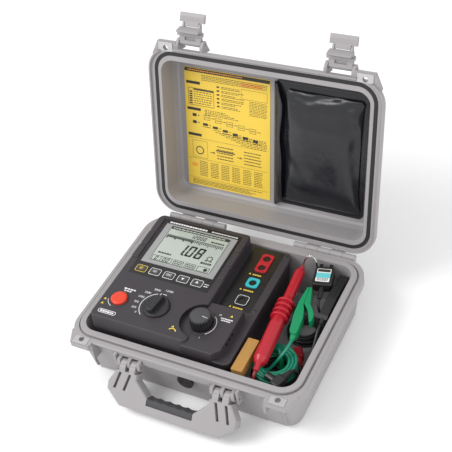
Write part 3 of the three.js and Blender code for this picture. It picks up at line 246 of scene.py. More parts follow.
# %% Adapter lead: between nine and ten thinner turns in the back stack
usb_free = [
    (139.1, 50.3, 78.3),
    (140.4, 44, 76.4),
    (142.8, 39, 70.5),
    (145.6, 38.4, 60),
    (147.5, 40.5, 46),
    (148.4, 43, 32),
    (148.2, 41, 21),
    (147, 34, 15),
    (144, 28, 14),
]
usb_columns = [18.2, 22.1, 26]
usb_rows = [7.2, 11.3, 15.2, 19]
usb_slots = [(2, 2), (1, 2), (0, 2), (0, 3), (1, 3), (1, 1), (0, 1), (0, 0), (1, 0), (2, 0)]
usb_coil = coil(BACK, usb_columns, usb_rows, usb_slots, -35, -1)
usb_tail = [(91, 46, 8.3), (91, 53, 9), (91, 58.6, 9.3)]
cut = next(
    i
    for i in range(len(usb_coil) - TURN_STEPS + 4, len(usb_coil))
    if usb_coil[i][0] < BACK[0] - 20 and usb_coil[i][1] > BACK[1] - 4
)
usb_line = rounded_route(usb_free + usb_coil[:cut] + usb_tail)

LEADS = {
    "line": (line_line, LINE_CORD, "red_cord", "limp"),
    "earth": (earth_line, LINE_CORD, "black_cord", "limp"),
    "guard": (guard_line, LINE_CORD, "green_cord", "limp"),
    "usb": (usb_line, USB_CORD, "black_cord", "limp"),
}
leads = {}
for name, (route, thick, slot, feel) in LEADS.items():
    cord = cord_piece(name + "_cord", route, thick)
    leads[name] = cord
    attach(cord, "case")
    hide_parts(name + "_lead", name + "_coil")
    tuple(route[0] * MM)
    length_of(route) * MM
    [tuple(spot * MM) for spot in route]
    nodes[name + "_plug"]
    print(name, "lead:", round(length_of(route)), "mm")

# %% [markdown]
# ## Shader maths as plain expressions
# A Val wraps a socket, so a pattern can be written as a sum or a product and the Math nodes
# appear by themselves. A Finish owns one material and has one method that adds any other node.

# %% Val and Finish
class Val:
    def __init__(self, finish, socket):
        self.finish = finish
        self.socket = socket

    def math(self, operation, other=0.0, flip=False):
        a, b = (other, self) if flip else (self, other)
        return self.finish.node("ShaderNodeMath", {"operation": operation}, {0: a, 1: b})

    def __add__(self, other):
        return self.math("ADD", other)

    __radd__ = __add__

    def __mul__(self, other):
        return self.math("MULTIPLY", other)

    __rmul__ = __mul__

    def __sub__(self, other):
        return self.math("SUBTRACT", other)

    def __rsub__(self, other):
        return self.math("SUBTRACT", other, flip=True)

    def above(self, limit):
        return self.math("GREATER_THAN", limit)


class Finish:
    def __init__(self, name, color, roughness, metallic=0.0, coat=0.0, sheen=0.0):
        self.material = bpy.data.materials.new(name)
        self.material.use_nodes = True
        self.tree = self.material.node_tree
        self.shader = self.tree.nodes["Principled BSDF"]
        self.shader.inputs["Base Color"].default_value = (*color, 1)
        self.shader.inputs["Roughness"].default_value = roughness
        self.shader.inputs["Metallic"].default_value = metallic
        self.shader.inputs["Coat Weight"].default_value = coat
        self.shader.inputs["Coat Roughness"].default_value = 0.12
        self.shader.inputs["Sheen Weight"].default_value = sheen
        self.place = self.node("ShaderNodeTexCoord", {}, {}, "Object")

    def node(self, kind, settings, values, output=0):
        made = self.tree.nodes.new(kind)
        for key, value in settings.items():
            setattr(made, key, value)
        for key, value in values.items():
            if isinstance(value, Val):
                self.tree.links.new(value.socket, made.inputs[key])
            else:
                made.inputs[key].default_value = value
        return Val(self, made.outputs[output])

    def feed(self, name, value):
        self.tree.links.new(value.socket, self.shader.inputs[name])

    def noise(self, scale, detail=3.0, rough=0.5, place=None):
        values = {"Scale": scale, "Detail": detail, "Roughness": rough}
        values["Vector"] = place or self.place
        return self.node("ShaderNodeTexNoise", {}, values)

    def stretched(self, scale):
        return self.node("ShaderNodeMapping", {}, {"Vector": self.place, "Scale": scale})

    def axis(self, letter):
        split = self.node("ShaderNodeSeparateXYZ", {}, {0: self.place}, letter)
        return split

    def between(self, amount, a, b):
        """Two colours mixed by an amount."""
        settings = {"data_type": "RGBA"}
        mixed = self.node("ShaderNodeMix", settings, {0: amount, 6: (*a, 1), 7: (*b, 1)}, 2)
        return mixed

    def bump(self, height, depth, rounding=None):
        values = {"Height": height, "Distance": depth, "Strength": 1.0}
        if rounding:
            radius = {"Radius": rounding}
            values["Normal"] = self.node("ShaderNodeBevel", {"samples": 6}, radius)
        self.feed("Normal", self.node("ShaderNodeBump", {}, values))


def tinted(color, amount):
    return tuple(min(1, c * amount) for c in color)


# %% [markdown]
# ## Moulded plastic
# Hard cases and instrument housings come out of etched moulds: a fine even grain, a slightly
# uneven gloss, and edges that are never quite sharp. The grain is a small bump, the gloss
# follows a broad noise, and a Bevel node rounds the edges of the frame's own pieces.

# %% Plastic finishes
def moulded(name, color, roughness, grain=0.00004, size=1500, rounding=0.0007, spread=0.06):
    finish = Finish(name, color, roughness)
    broad = finish.noise(24, 3)
    fine = finish.noise(size, 2, 0.6)
    dark = tinted(color, 1 - spread)
    light = tinted(color, 1 + spread)
    finish.feed("Base Color", finish.between(broad * 0.7 + fine * 0.3, dark, light))
    finish.feed("Roughness", broad * 0.12 + (roughness - 0.06))
    finish.bump(fine, grain, rounding)
    return finish.material


case_plastic = moulded("case_plastic", (0.31, 0.295, 0.3), 0.5, 0.00006, 1100)
tester_plastic = moulded("tester_plastic", (0.033, 0.028, 0.034), 0.48, 0.00005, 1400)
knob_plastic = moulded("knob_plastic", (0.016, 0.015, 0.018), 0.4, 0.00002, 1800)
black_plastic = moulded("black_plastic", (0.012, 0.012, 0.013), 0.38, 0.00002, 1600)
key_rubber = moulded("key_rubber", (0.05, 0.05, 0.055), 0.6, 0.00002, 2200, 0.0006)
red_plastic = moulded("red_plastic", (0.42, 0.009, 0.022), 0.3, 0.00002, 1300)
green_plastic = moulded("green_plastic", (0.0, 0.235, 0.09), 0.34, 0.00002, 1300)
cyan_plastic = moulded("cyan_plastic", (0.03, 0.42, 0.47), 0.36, 0.00002, 1300)
orange_plastic = moulded("orange_plastic", (0.66, 0.045, 0.016), 0.35, 0.00001, 1800)
grip_rubber = moulded("grip_rubber", (0.055, 0.054, 0.058), 0.75, 0.00005, 1800)
seal_rubber = moulded("seal_rubber", (0.014, 0.014, 0.014), 0.6, 0.00002, 1500, 0.0004)

# %% [markdown]
# ## Cords, metal, board and paper
# Cord jackets are soft plastic with a faint sheen. Wire and plates are metal, brushed along
# their length. Kraft board shows short fibres, so its noise is stretched one way.

# %% Other finishes
def jacket(name, color):
    finish = Finish(name, color, 0.42, coat=0.15)
    mottle = finish.noise(350, 3)
    finish.feed("Base Color", finish.between(mottle, tinted(color, 0.75), tinted(color, 1.2)))
    finish.feed("Roughness", mottle * 0.2 + 0.32)
    finish.bump(mottle, 0.00005)
    return finish.material


def metal(name, color, roughness, stretch=(40, 1500, 1500)):
    finish = Finish(name, color, roughness, metallic=1.0)
    streaks = finish.noise(1.0, 4, 0.6, finish.stretched(stretch))
    finish.feed("Base Color", finish.between(streaks, tinted(color, 0.85), tinted(color, 1.05)))
    finish.feed("Roughness", streaks * 0.15 + (roughness - 0.05))
    finish.bump(streaks, 0.00001, 0.0003)
    return finish.material


def kraft(name, color):
    finish = Finish(name, color, 0.85)
    fibres = finish.noise(1.0, 5, 0.65, finish.stretched((900, 120, 500)))
    flecks = finish.noise(700, 2).above(0.68)
    base = finish.between(fibres * 0.8 + flecks * 0.2, tinted(color, 0.7), tinted(color, 1.25))
    finish.feed("Base Color", base)
    finish.feed("Roughness", fibres * 0.15 + 0.75)
    finish.bump(fibres, 0.0001, 0.0005)
    return finish.material


red_jacket = jacket("red_jacket", (0.19, 0.01, 0.015))
green_jacket = jacket("green_jacket", (0.0, 0.21, 0.12))
black_jacket = jacket("black_jacket", (0.013, 0.013, 0.014))
bright_steel = metal("bright_steel", (0.62, 0.61, 0.62), 0.32)
chrome_wire = metal("chrome_wire", (0.8, 0.8, 0.82), 0.14)
paperboard = kraft("paperboard", (0.44, 0.235, 0.06))
board_green = moulded("board_green", (0.01, 0.12, 0.04), 0.4)
cell_wrap = moulded("cell_wrap", (0.02, 0.04, 0.16), 0.35)
winding = metal("winding", (0.25, 0.2, 0.14), 0.5)

# %% Give every frame node its finish
FINISHES = {
    case_plastic: ["case_base", "lid_shell", "handle_frame"],
    grip_rubber: ["handle_grip"],
    seal_rubber: ["lid_gasket"],
    tester_plastic: ["tester_bottom_case", "tester_top_cover", "battery_cover"],
    knob_plastic: ["range_knob", "adjust_dial"],
    black_plastic: [
        "purge_valve",
        "display_overlay",
        "test_button_stem",
        "earth_terminal",
        "earth_clip_body",
        "earth_clip_lever",
        "optical_adapter",
        "earth_plug",
        "usb_plug",
    ],
    red_plastic: ["line_terminal", "probe_body", "line_plug"],
    cyan_plastic: ["guard_terminal"],
    green_plastic: ["guard_clip_body", "guard_clip_lever", "guard_plug"],
    orange_plastic: ["test_button"],
    chrome_wire: ["probe_hook"],
    paperboard: ["paper_box"],
    board_green: ["main_board"],
    cell_wrap: ["battery_holder"],
    winding: ["high_voltage_transformer"],
}
SIDES = ("left", "right")
KEYS = ("backlight", "save", "function", "down", "up")
FINISHES[case_plastic] += [f"latch_{part}_{s}" for part in ("body", "lever") for s in SIDES]
FINISHES[bright_steel] = [f"{part}_pin_{s}" for part in ("hinge", "handle") for s in SIDES]
for part in ("base", "lid"):
    FINISHES[bright_steel] += [f"padlock_plate_{part}_{s}" for s in SIDES]
FINISHES[key_rubber] = [f"key_{key}" for key in KEYS]
for material, names in FINISHES.items():
    for name in names:
        nodes[name].data.materials.clear()
        nodes[name].data.materials.append(material)
for name, material in (
    ("line", red_jacket),
    ("earth", black_jacket),
    ("guard", green_jacket),
    ("usb", black_jacket),
):
    leads[name].data.materials.append(material)
dressed = {name for names in FINISHES.values() for name in names}
print("nodes still to dress:", sorted(set(nodes) - dressed))

# %% [markdown]
# ## The studio
# A pale floor and a pale, even world keep the shadows soft, as in a catalogue picture. One
# large lamp from the upper left gives the plastic its gentle highlights.

# %% Floor, world and lamps
bm = bmesh.new()
bmesh.ops.create_grid(bm, x_segments=1, y_segments=1, size=6)
floor_mesh = bpy.data.meshes.new("floor")
bm.to_mesh(floor_mesh)
bm.free()
floor = bpy.data.objects.new("floor", floor_mesh)
floor.location.z = -0.0005
bpy.context.scene.collection.objects.link(floor)
floor_finish = Finish("floor_paper", (0.9, 0.9, 0.9), 0.9)
floor_finish.bump(floor_finish.noise(40), 0.0002)
floor_mesh.materials.append(floor_finish.material)

world = bpy.data.worlds.new("studio")
world.use_nodes = True
world.node_tree.nodes["Background"].inputs["Color"].default_value = (1, 1, 1, 1)
world.node_tree.nodes["Background"].inputs["Strength"].default_value = 0.92
bpy.context.scene.world = world


def lamp(name, place, target, size, power):
    data = bpy.data.lights.new(name, "AREA")
    data.size = size
    data.energy = power
    piece = bpy.data.objects.new(name, data)
    piece.location = place
    aim = Vector(target) - Vector(place)
    piece.rotation_euler = aim.to_track_quat("-Z", "Y").to_euler()
    bpy.context.scene.collection.objects.link(piece)


lamp("key", (-1.2, -0.9, 1.9), (0, 0, 0.1), 1.1, 32)
lamp("fill", (1.6, -0.6, 1.0), (0, 0, 0.1), 1.6, 8)
bpy.context.scene.view_settings.view_transform = "Standard"

# %% [markdown]
# ## A small workbench for new pieces
# Every added piece is drawn in millimetres in a handy place, such as flat on the lid's label,
# and a matrix carries it to where it belongs. Plates, turned shapes, arcs and numerals cover
# nearly all the small parts. A plate is a square whose corners are bevelled and whose face is
# extruded; a turned shape is a profile that is spun; an arc is a small rectangle spun part way.

# %% The workbench
lid_joint = next(j for j in frame["record"]["behaviour"]["joints"] if j["name"] == "lid_hinge")
LID_AXIS = Vector(lid_joint["pos_m"]) / MM
LID_DEGREES = 104.3  # how far the lid stands open in the scene
LID_LEAN = Matrix.Rotation(-math.radians(LID_DEGREES), 4, "X")
LID_OPEN = Matrix.Translation(LID_AXIS) @ LID_LEAN @ Matrix.Translation(-LID_AXIS)


class Bench:
    def __init__(self, place=None):
        self.bm = bmesh.new()
        self.place = place or Matrix()

    def take(self, bm, turn=None):
        """Carries a finished shape to its place."""
        bmesh.ops.remove_doubles(bm, verts=bm.verts, dist=0.0005)
        bmesh.ops.recalc_face_normals(bm, faces=bm.faces)
        bmesh.ops.transform(bm, matrix=self.place @ (turn or Matrix()), verts=bm.verts)
        mesh = bpy.data.meshes.new("shape")
        bm.to_mesh(mesh)
        bm.free()
        self.bm.from_mesh(mesh)
        bpy.data.meshes.remove(mesh)

    def outline(self, x0, x1, y0, y1, z, corner, segments):
        bm = bmesh.new()
        bmesh.ops.create_grid(bm, x_segments=1, y_segments=1, size=0.5)
        bmesh.ops.scale(bm, vec=(x1 - x0, y1 - y0, 1), verts=bm.verts)
        bmesh.ops.translate(bm, vec=((x0 + x1) / 2, (y0 + y1) / 2, z), verts=bm.verts)
        if corner:
            bmesh.ops.bevel(
                bm,
                geom=bm.verts[:],
                offset=corner,
                segments=segments,
                profile=0.5,
                affect="VERTICES",
                material=-1,
            )
        return bm

    def raise_face(self, bm, height, edge=0.0):
        made = bmesh.ops.extrude_face_region(bm, geom=bm.faces[:])
        top = {v for v in made["geom"] if isinstance(v, bmesh.types.BMVert)}
        bmesh.ops.translate(bm, vec=(0, 0, height), verts=list(top))
        if edge:
            rim = [e for e in bm.edges if e.verts[0] in top and e.verts[1] in top]
            bmesh.ops.bevel(
                bm,
                geom=rim,
                offset=edge,
                segments=3,
                profile=0.5,
                affect="EDGES",
                material=-1,
            )

    def plate(self, x0, x1, y0, y1, z0, z1, corner=0.0, edge=0.0, turn=None, segments=4):
        bm = self.outline(x0, x1, y0, y1, z0, corner, segments)
        self.raise_face(bm, z1 - z0, edge)
        self.take(bm, turn)

    def frame(self, x0, x1, y0, y1, z0, z1, line, corner=0.0, turn=None):
        """A printed outline: a plate whose middle is left out."""
        bm = self.outline(x0, x1, y0, y1, z0, corner, 4)
        made = bmesh.ops.inset_region(
            bm, faces=bm.faces[:], thickness=line, use_boundary=True, use_even_offset=True
        )
        inner = [f for f in bm.faces if f not in made["faces"]]
        bmesh.ops.delete(bm, geom=inner, context="FACES")
        self.raise_face(bm, z1 - z0)
        self.take(bm, turn)

    def holed(self, x0, x1, y0, y1, z0, z1, corner, radius, turn=None):
        """A rounded plate with a round hole in its middle, bridged from ring to ring."""
        bm = self.outline(x0, x1, y0, y1, z0, corner, 6)
        bmesh.ops.delete(bm, geom=bm.faces[:], context="FACES_ONLY")
        hole = bmesh.ops.create_circle(bm, radius=radius, segments=len(bm.verts))
        bmesh.ops.translate(bm, vec=((x0 + x1) / 2, (y0 + y1) / 2, z0), verts=hole["verts"])
        bmesh.ops.bridge_loops(bm, edges=bm.edges[:])
        self.raise_face(bm, z1 - z0)
        self.take(bm, turn)

    def turned(self, profile, turn=None, steps=40):
        bm = bmesh.new()
        line = [bm.verts.new((r, 0, z)) for r, z in profile]
        edges = [bm.edges.new(pair) for pair in zip(line, line[1:])]
        bmesh.ops.spin(
            bm,
            geom=line + edges,
            axis=(0, 0, 1),
            cent=(0, 0, 0),
            angle=2 * math.pi,
            steps=steps,
            use_merge=True,
        )
        self.take(bm, turn)

    def arc(self, centre, radius, start, end, line, z0, z1):
        bm = bmesh.new()
        corners = ((-line / 2, z0), (line / 2, z0), (line / 2, z1), (-line / 2, z1))
        face = bm.faces.new([bm.verts.new((radius + r, 0, z)) for r, z in corners])
        geometry = [face, *face.edges, *face.verts]
        sweep = math.radians(end - start)
        spun = bmesh.ops.spin(
            bm, geom=geometry, axis=(0, 0, 1), cent=(0, 0, 0), angle=sweep, steps=36
        )
        last = [f for f in spun["geom_last"] if isinstance(f, bmesh.types.BMFace)]
        assert last
        turn = Matrix.Translation((*centre, 0)) @ Matrix.Rotation(math.radians(start), 4, "Z")
        self.take(bm, turn)

    def numeral(self, text, size, x, y, z0, z1, slant=0.0, turn=None):
        data = bpy.data.curves.new("numeral", "FONT")
        data.body = text
        data.size = size
        data.shear = slant
        data.align_x = "CENTER"
        data.align_y = "CENTER"
        data.resolution_u = 3
        data.extrude = (z1 - z0) / 2
        mesh = mesh_of(bpy.data.objects.new("numeral", data))
        bm = bmesh.new()
        bm.from_mesh(mesh)
        bpy.data.meshes.remove(mesh)
        bmesh.ops.translate(bm, vec=(x, y, (z0 + z1) / 2), verts=bm.verts)
        self.take(bm, turn)

    def triangle(self, x, y, size, z0, z1, angle=90.0, turn=None):
        bm = bmesh.new()
        bmesh.ops.create_circle(bm, cap_ends=True, radius=size, segments=3)
        around = Matrix.Rotation(math.radians(angle - 90), 3, "Z")
        bmesh.ops.rotate(bm, verts=bm.verts, cent=(0, 0, 0), matrix=around)
        bmesh.ops.translate(bm, vec=(x, y, z0), verts=bm.verts)
        self.raise_face(bm, z1 - z0)
        self.take(bm, turn)

    def done(self, name, material, body, replaces=(), smooth=38):
        bmesh.ops.scale(self.bm, vec=(MM, MM, MM), verts=self.bm.verts)
        mesh = bpy.data.meshes.new(name)
        self.bm.to_mesh(mesh)
        self.bm.free()
        mesh.materials.append(material)
        mesh.shade_smooth()
        mesh.set_sharp_from_angle(angle=math.radians(smooth))
        piece = bpy.data.objects.new(name, mesh)
        bpy.context.scene.collection.objects.link(piece)
        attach(piece, body)
        if replaces:
            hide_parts(*replaces)
        print(name, len(mesh.polygons), "faces")
        return piece


def at(x, y, z=0.0, turn=0.0):
    return Matrix.Translation((x, y, z)) @ Matrix.Rotation(math.radians(turn), 4, "Z")


# %% [markdown]
# ## Inks and glass
# Printed marks are thin raised ink, so they keep a small gloss difference from the panel.

# %% Ink finishes
white_ink = moulded("white_ink", (0.72, 0.72, 0.72), 0.5, 0.00001, 3000, 0.0001)
yellow_ink = moulded("yellow_ink", (0.72, 0.52, 0.06), 0.5, 0.00001, 3000, 0.0001)
black_ink = moulded("black_ink", (0.03, 0.025, 0.02), 0.6, 0.00001, 3000, 0.0001)
label_yellow = moulded("label_yellow", (0.78, 0.54, 0.06), 0.42, 0.00001, 900, 0.0002)
orange_ink = moulded("orange_ink", (0.8, 0.33, 0.03), 0.45, 0.00001, 900, 0.0001)
bezel_silver = moulded("bezel_silver", (0.29, 0.29, 0.295), 0.35, 0.00001, 2500, 0.0003)
glass_pale = moulded("glass_pale", (0.4, 0.445, 0.405), 0.16, 0.000002, 2500, 0.0002)
segment_dark = moulded("segment_dark", (0.02, 0.024, 0.022), 0.3, 0.00001, 2500, 0.0001)
overlay_black = moulded("overlay_black", (0.009, 0.009, 0.01), 0.3, 0.00001, 2500, 0.0003)
teal_ink = moulded("teal_ink", (0.12, 0.52, 0.55), 0.45, 0.00001, 2500, 0.0001)
for name, material in (
    ("display_panel", bezel_silver),
    ("instruction_label", label_yellow),
    ("display_overlay", overlay_black),
):
    nodes[name].data.materials.clear()
    nodes[name].data.materials.append(material)

# %% [markdown]
# ## The display
# A pale glass lies in the silver bezel. The reading is made of seven bar segments, as on any
# such display, each bar a bevelled plate. Smaller bars stand for the graph and status rows.

# %% Display glass and its segments
DECK = 106.0  # the tester's top face
GLASS_TOP = DECK + 1.1
INK = 0.16  # how far printed marks stand up
bench = Bench()
bench.plate(-127, -22, 19, 97.5, DECK + 0.6, GLASS_TOP, corner=1.2, edge=0.15)
bench.done("display_glass", glass_pale, "case")

# Which bars each digit lights, in this order: top, upper left, upper right, middle, lower left,
# lower right, foot.
BARS = {
    "0": (1, 1, 1, 0, 1, 1, 1),
    "1": (0, 0, 1, 0, 0, 1, 0),
    "2": (1, 0, 1, 1, 1, 0, 1),
    "8": (1, 1, 1, 1, 1, 1, 1),
}
LEAN = 0.14  # sideways lean of a digit, per millimetre of height


def digit(bench, figure, x, y, width, height, thick):
    """Seven bars, leaning a little, with gaps between them."""
    lean = Matrix(((1, LEAN, 0, x), (0, 1, 0, y), (0, 0, 1, 0), (0, 0, 0, 1)))
    half, gap = height / 2, thick * 0.15
    across = (thick * 0.5, width - thick * 0.5)
    bars = (
        (*across, height - thick, height),
        (0, thick, half + gap, height - gap),
        (width - thick, width, half + gap, height - gap),
        (*across, half - thick / 2, half + thick / 2),
        (0, thick, gap, half - gap),
        (width - thick, width, gap, half - gap),
        (*across, 0, thick),
    )
    for lit, bar in zip(BARS[figure], bars):
        if lit:
            bench.plate(*bar, GLASS_TOP, GLASS_TOP + INK, corner=thick * 0.2, turn=lean)


def block_row(bench, x0, x1, y0, y1, z0, z1, rng, least=1.5, most=6.0, gap=1.0):
    """A row of short bars, which stands for a line of small print."""
    x = x0
    while x < x1 - least:
        width = min(rng.uniform(least, most), x1 - x)
        bench.plate(x, x + width, y0, y1, z0, z1)
        x += width + gap


rng = random.Random(7)
LIT = (GLASS_TOP - 0.05, GLASS_TOP + INK)
bench = Bench()
for figure, x in (("1", -93), ("0", -78), ("8", -63)):
    digit(bench, figure, x, 43, 11.5, 23, 3.2)
bench.plate(-81.6, -78.9, 42.6, 45.4, *LIT)
for figure, x in (("1", -86), ("2", -80.5), ("0", -75), ("0", -69.5), ("0", -64)):
    digit(bench, figure, x, 81, 4, 7.5, 1.1)
for figure, x in (("0", -119), ("1", -113), ("0", -105.5), ("0", -99.5)):
    digit(bench, figure, x, 22.3, 4.2, 7.5, 1.1)
bench.plate(-125, -24, 91, 96.4, *LIT)
bench.frame(-126.4, -22.6, 19.6, 97, *LIT, 0.8, 1)
bench.plate(-124, -26, 77.6, 78.6, *LIT)
for i in range(34):
    x = -124 + i * 2.9
    bench.plate(x, x + (2.4 if i < 16 else 1.3), 70.5 if i % 5 == 0 else 73, 77, *LIT)
for x0, x1 in ((-124, -90), (-87, -70), (-67, -49), (-46, -26)):
    bench.frame(x0, x1, 21, 31.4, *LIT, 0.8, 1)
for x0, x1 in ((-85, -72), (-65, -51)):
    for y in (23.4, 27):
        block_row(bench, x0, x1, y, y + 1.9, *LIT, rng, 1.5, 4)
block_row(bench, -120, -96, 37, 40, *LIT, rng, 2, 5)
block_row(bench, -46, -26, 36.5, 40.5, *LIT, rng, 2, 4)
block_row(bench, -50, -27, 81.5, 84.5, *LIT, rng, 1.5, 4)
bench.turned([(3.6, 0), (5, 0), (5, INK), (3.6, INK), (3.6, 0)], at(-36, 49.5, GLASS_TOP))
bench.plate(-42, -38.2, 43.4, 45.2, *LIT)
bench.plate(-33.8, -30, 43.4, 45.2, *LIT)
bench.turned([(0, 0), (3.2, 0), (3.2, INK), (0, INK)], at(-32, 26, GLASS_TOP))
bench.done("display_segments", segment_dark, "case")
bench = Bench()
HEADER = (GLASS_TOP + INK - 0.02, GLASS_TOP + INK + 0.1)
block_row(bench, -122, -28, 92.6, 94.8, *HEADER, rng, 3, 9, 1)
bench.done("display_header_marks", glass_pale, "case")

# %% [markdown]
# ## Panel print
# The deck carries white arcs round the knob and the dial, and numerals for the ranges. Each
# key has an outline, and the first is yellow. Words are left as short bars.

# %% Print on the deck and the overlay
KEY_X = [-128, -104, -80, -56, -32]
KEY_Y = -0.5
OVER = DECK + 0.1  # the overlay's face
STEP = (DECK - 4, DECK - 4 + INK)  # ink on the lower step round the dial
KNOB = (-67, -63)
DIAL = (8, -65)
BUTTON = (-128, -67)
bench = Bench()
for x in KEY_X[1:]:
    bench.frame(x - 9.2, x + 9.2, KEY_Y - 6.8, KEY_Y + 6.8, OVER, OVER + INK, 0.9, 2.4)
bench.arc(KNOB, 25.8, 82, 232, 1.0, DECK, DECK + INK)
ranges = (("12000", 84), ("5000", 116), ("2500", 141), ("1000", 161), ("500", 180))
for text, angle in (*ranges, ("250", 198), ("0", 216)):
    away = 34 if len(text) > 2 else 31
    turn = math.radians(angle)
    spot = (KNOB[0] + away * math.cos(turn), KNOB[1] + away * math.sin(turn))
    bench.numeral(text, 5.2, *spot, DECK, DECK + INK)
bench.arc(DIAL, 21.8, -51, 52, 0.9, *STEP)
bench.numeral("10", 4.6, 27, -42.5, *STEP)
bench.numeral("1", 4.6, 17, -90.5, *STEP)
bench.arc(BUTTON, 17, 196, 250, 0.8, DECK, DECK + INK)
bench.frame(-148, -118, -99, -92, DECK, DECK + INK, 0.9, 3.2)
block_row(bench, -144.5, -122, -97, -94, DECK, DECK + INK, rng, 2, 4, 0.8)
block_row(bench, -132, -112, -46, -43.6, DECK, DECK + INK, rng, 3, 6, 1)
block_row(bench, -130, -115, -50, -47.8, DECK, DECK + INK, rng, 2, 4, 1)
block_row(bench, -134, -68, 103, 106, OVER, OVER + INK, rng, 2, 5, 1)
block_row(bench, -60, -14, 103.6, 105.6, OVER, OVER + INK, rng, 1.5, 4, 0.8)
block_row(bench, 30, 50, -48, -46, *STEP, rng, 2, 4, 0.8)
block_row(bench, 32, 48, -51.5, -49.5, *STEP, rng, 2, 4, 0.8)
block_row(bench, -20, -12, -4, -2.4, OVER, OVER + INK, rng, 1.5, 3, 0.8)
block_row(bench, -20, -13, 0, 1.6, OVER, OVER + INK, rng, 1.5, 3, 0.8)
bench.done("panel_print_white", white_ink, "case", smooth=20)

bench = Bench()
bench.frame(-137.2, -118.8, KEY_Y - 6.8, KEY_Y + 6.8, OVER, OVER + INK, 0.9, 2.4)
for x, y, z in ((44, -40, 102), (-26, -88, DECK), (-149, -73, DECK), (-149, -82, DECK)):
    bench.triangle(x, y, 2.6, z, z + INK)
for y in (59, 26, -10.5):
    bench.triangle(24.5, y, 2.2, 86.4, 86.4 + INK)
    block_row(bench, 29, 45, y - 1.2, y + 1.2, 86.4, 86.4 + INK, rng, 2, 4, 0.8)
bench.arc((-24, -97), 6, 20, 150, 1.6, DECK, DECK + INK)
bench.done("panel_print_yellow", yellow_ink, "case", smooth=20)

# %% [markdown]
# ## Key legends
# Each key has its own small mark, and it has to move with its key, so each is its own piece.

# %% Marks on the keys
KEY_TOP = DECK + 1.4
KEY_INK = (KEY_TOP - 0.02, KEY_TOP + INK)
for i, key in enumerate(KEYS):
    x = KEY_X[i]
    bench = Bench()
    if key in ("down", "up"):
        bench.triangle(x, KEY_Y, 2.9, *KEY_INK, 90 if key == "up" else 270)
    elif key == "backlight":
        bench.turned(
            [(1.2, 0), (2.0, 0), (2.0, INK), (1.2, INK), (1.2, 0)], at(x, KEY_Y, KEY_TOP - 0.02)
        )
        for spoke in range(8):
            turn = at(x, KEY_Y, 0, 45 * spoke)
            bench.plate(2.6, 3.8, -0.25, 0.25, *KEY_INK, turn=turn)
    else:
        wide = 4.2 if key == "function" else 3
        bench.frame(
            x - wide, x + wide, KEY_Y - 1.9, KEY_Y + 1.9, *KEY_INK, 0.45, 0.6
        )
        bench.plate(x - wide / 2, x + wide / 2, KEY_Y - 0.4, KEY_Y + 0.4, *KEY_INK)
    ink = yellow_ink if key == "backlight" else white_ink
    bench.done(f"key_mark_{key}", ink, f"key_{key}")

# %% [markdown]
# ## The knob, the dial and the button
# The range knob keeps its frame shape and gets a pointer line. The dial is rebuilt with fine
# ribs: a circle of many sides whose every fourth point is drawn in, then raised and inset. A
# collar stands round the test button.

# %% Pointer line, ribbed dial and collar
bench = Bench(at(*KNOB, 0, 82))
bench.plate(13.2, 17, -0.5, 0.5, DECK + 12.95, DECK + 13.15, corner=0.4)
bench.done("range_knob_pointer", white_ink, "range_knob")
bench = Bench(at(*KNOB))
bench.turned(
    [(20.05, 0.4), (20.6, 0.6), (20.6, 2.4), (20.05, 3.0), (20.05, 0.4)], at(0, 0, DECK), 64
)
bench.done("range_knob_rim", black_plastic, "range_knob")

RIBS = 24
DIAL_R = 16.5
DIAL_TOP = DECK + 13
bm = bmesh.new()
bmesh.ops.create_circle(bm, cap_ends=True, radius=DIAL_R, segments=RIBS * 4)
bm.verts.ensure_lookup_table()
for i in range(RIBS * 4):
    if i % 4 == 0:
        bm.verts[i].co *= (DIAL_R - 1.3) / DIAL_R
bmesh.ops.translate(bm, vec=(0, 0, DIAL_TOP - 20), verts=bm.verts)
bench = Bench(at(*DIAL))
bench.raise_face(bm, 19)
top_face = max(bm.faces, key=lambda f: f.calc_center_median().z)
bmesh.ops.inset_region(bm, faces=[top_face], thickness=0.9, depth=0.9)
bmesh.ops.inset_region(bm, faces=[top_face], thickness=1.6, depth=-0.35)
bench.take(bm)
bench.done("adjust_dial_cap", knob_plastic, "adjust_dial", ["adjust_dial"], 24)
bench = Bench(at(*DIAL))
face_profile = [(0, 0.05), (13.6, 0.05), (14.2, -0.15), (14.2, -0.6), (0, -0.6)]
bench.turned(face_profile, at(0, 0, DIAL_TOP), 48)
bench.done("adjust_dial_face", grip_rubber, "adjust_dial")
bench = Bench(at(*DIAL, 0, -8))
bench.plate(4, 13.2, -0.35, 0.35, DIAL_TOP + 0.02, DIAL_TOP + 0.2, corner=0.3)
bench.done("adjust_dial_pointer", white_ink, "adjust_dial")

bench = Bench(at(*BUTTON, DECK))
collar = [(13.1, -0.2), (15.2, -0.2), (15.0, 0.5), (14.4, 0.8), (13.4, 0.8), (13.1, 0.5)]
bench.turned([*collar, collar[0]], steps=64)
bench.done("test_button_collar", tester_plastic, "case")

# %% [markdown]
# ## The terminal panel
# A glossy black overlay surrounds the sockets. Each socket has a dark liner, and three small
# screws hold the cover.

# %% Overlay, liners, outlines and screws
PANEL = 86.0  # the terminal panel's face
bench = Bench()
bench.plate(7, 58, -14, 114, PANEL + 0.02, PANEL + 0.28, corner=3)
bench.done("terminal_overlay", overlay_black, "case")
JACK_Y = (94, 75, 42, 5)
SOCKETS = (27.4, 46.6)  # the frames' left and right sides
HALF = 9.45  # half of a frame's depth
HOLE = 6.0
RISE = 2.1
SCREWS = ((62.5, 109), (63, -7), (-150, 108.5))


def socket_frames(name, places, material, bridge=None):
    """Rounded frames round the holes, in the node's own place."""
    bench = Bench()
    for y in places:
        bench.holed(*SOCKETS, y - HALF, y + HALF, PANEL - 8, PANEL + RISE, 4.6, HOLE)
    if bridge:
        bench.plate(27.45, 46.55, *bridge, PANEL - 7.9, PANEL + RISE - 0.03)
    return bench.done(name, material, "case", [name.replace("_frame", "_terminal")])


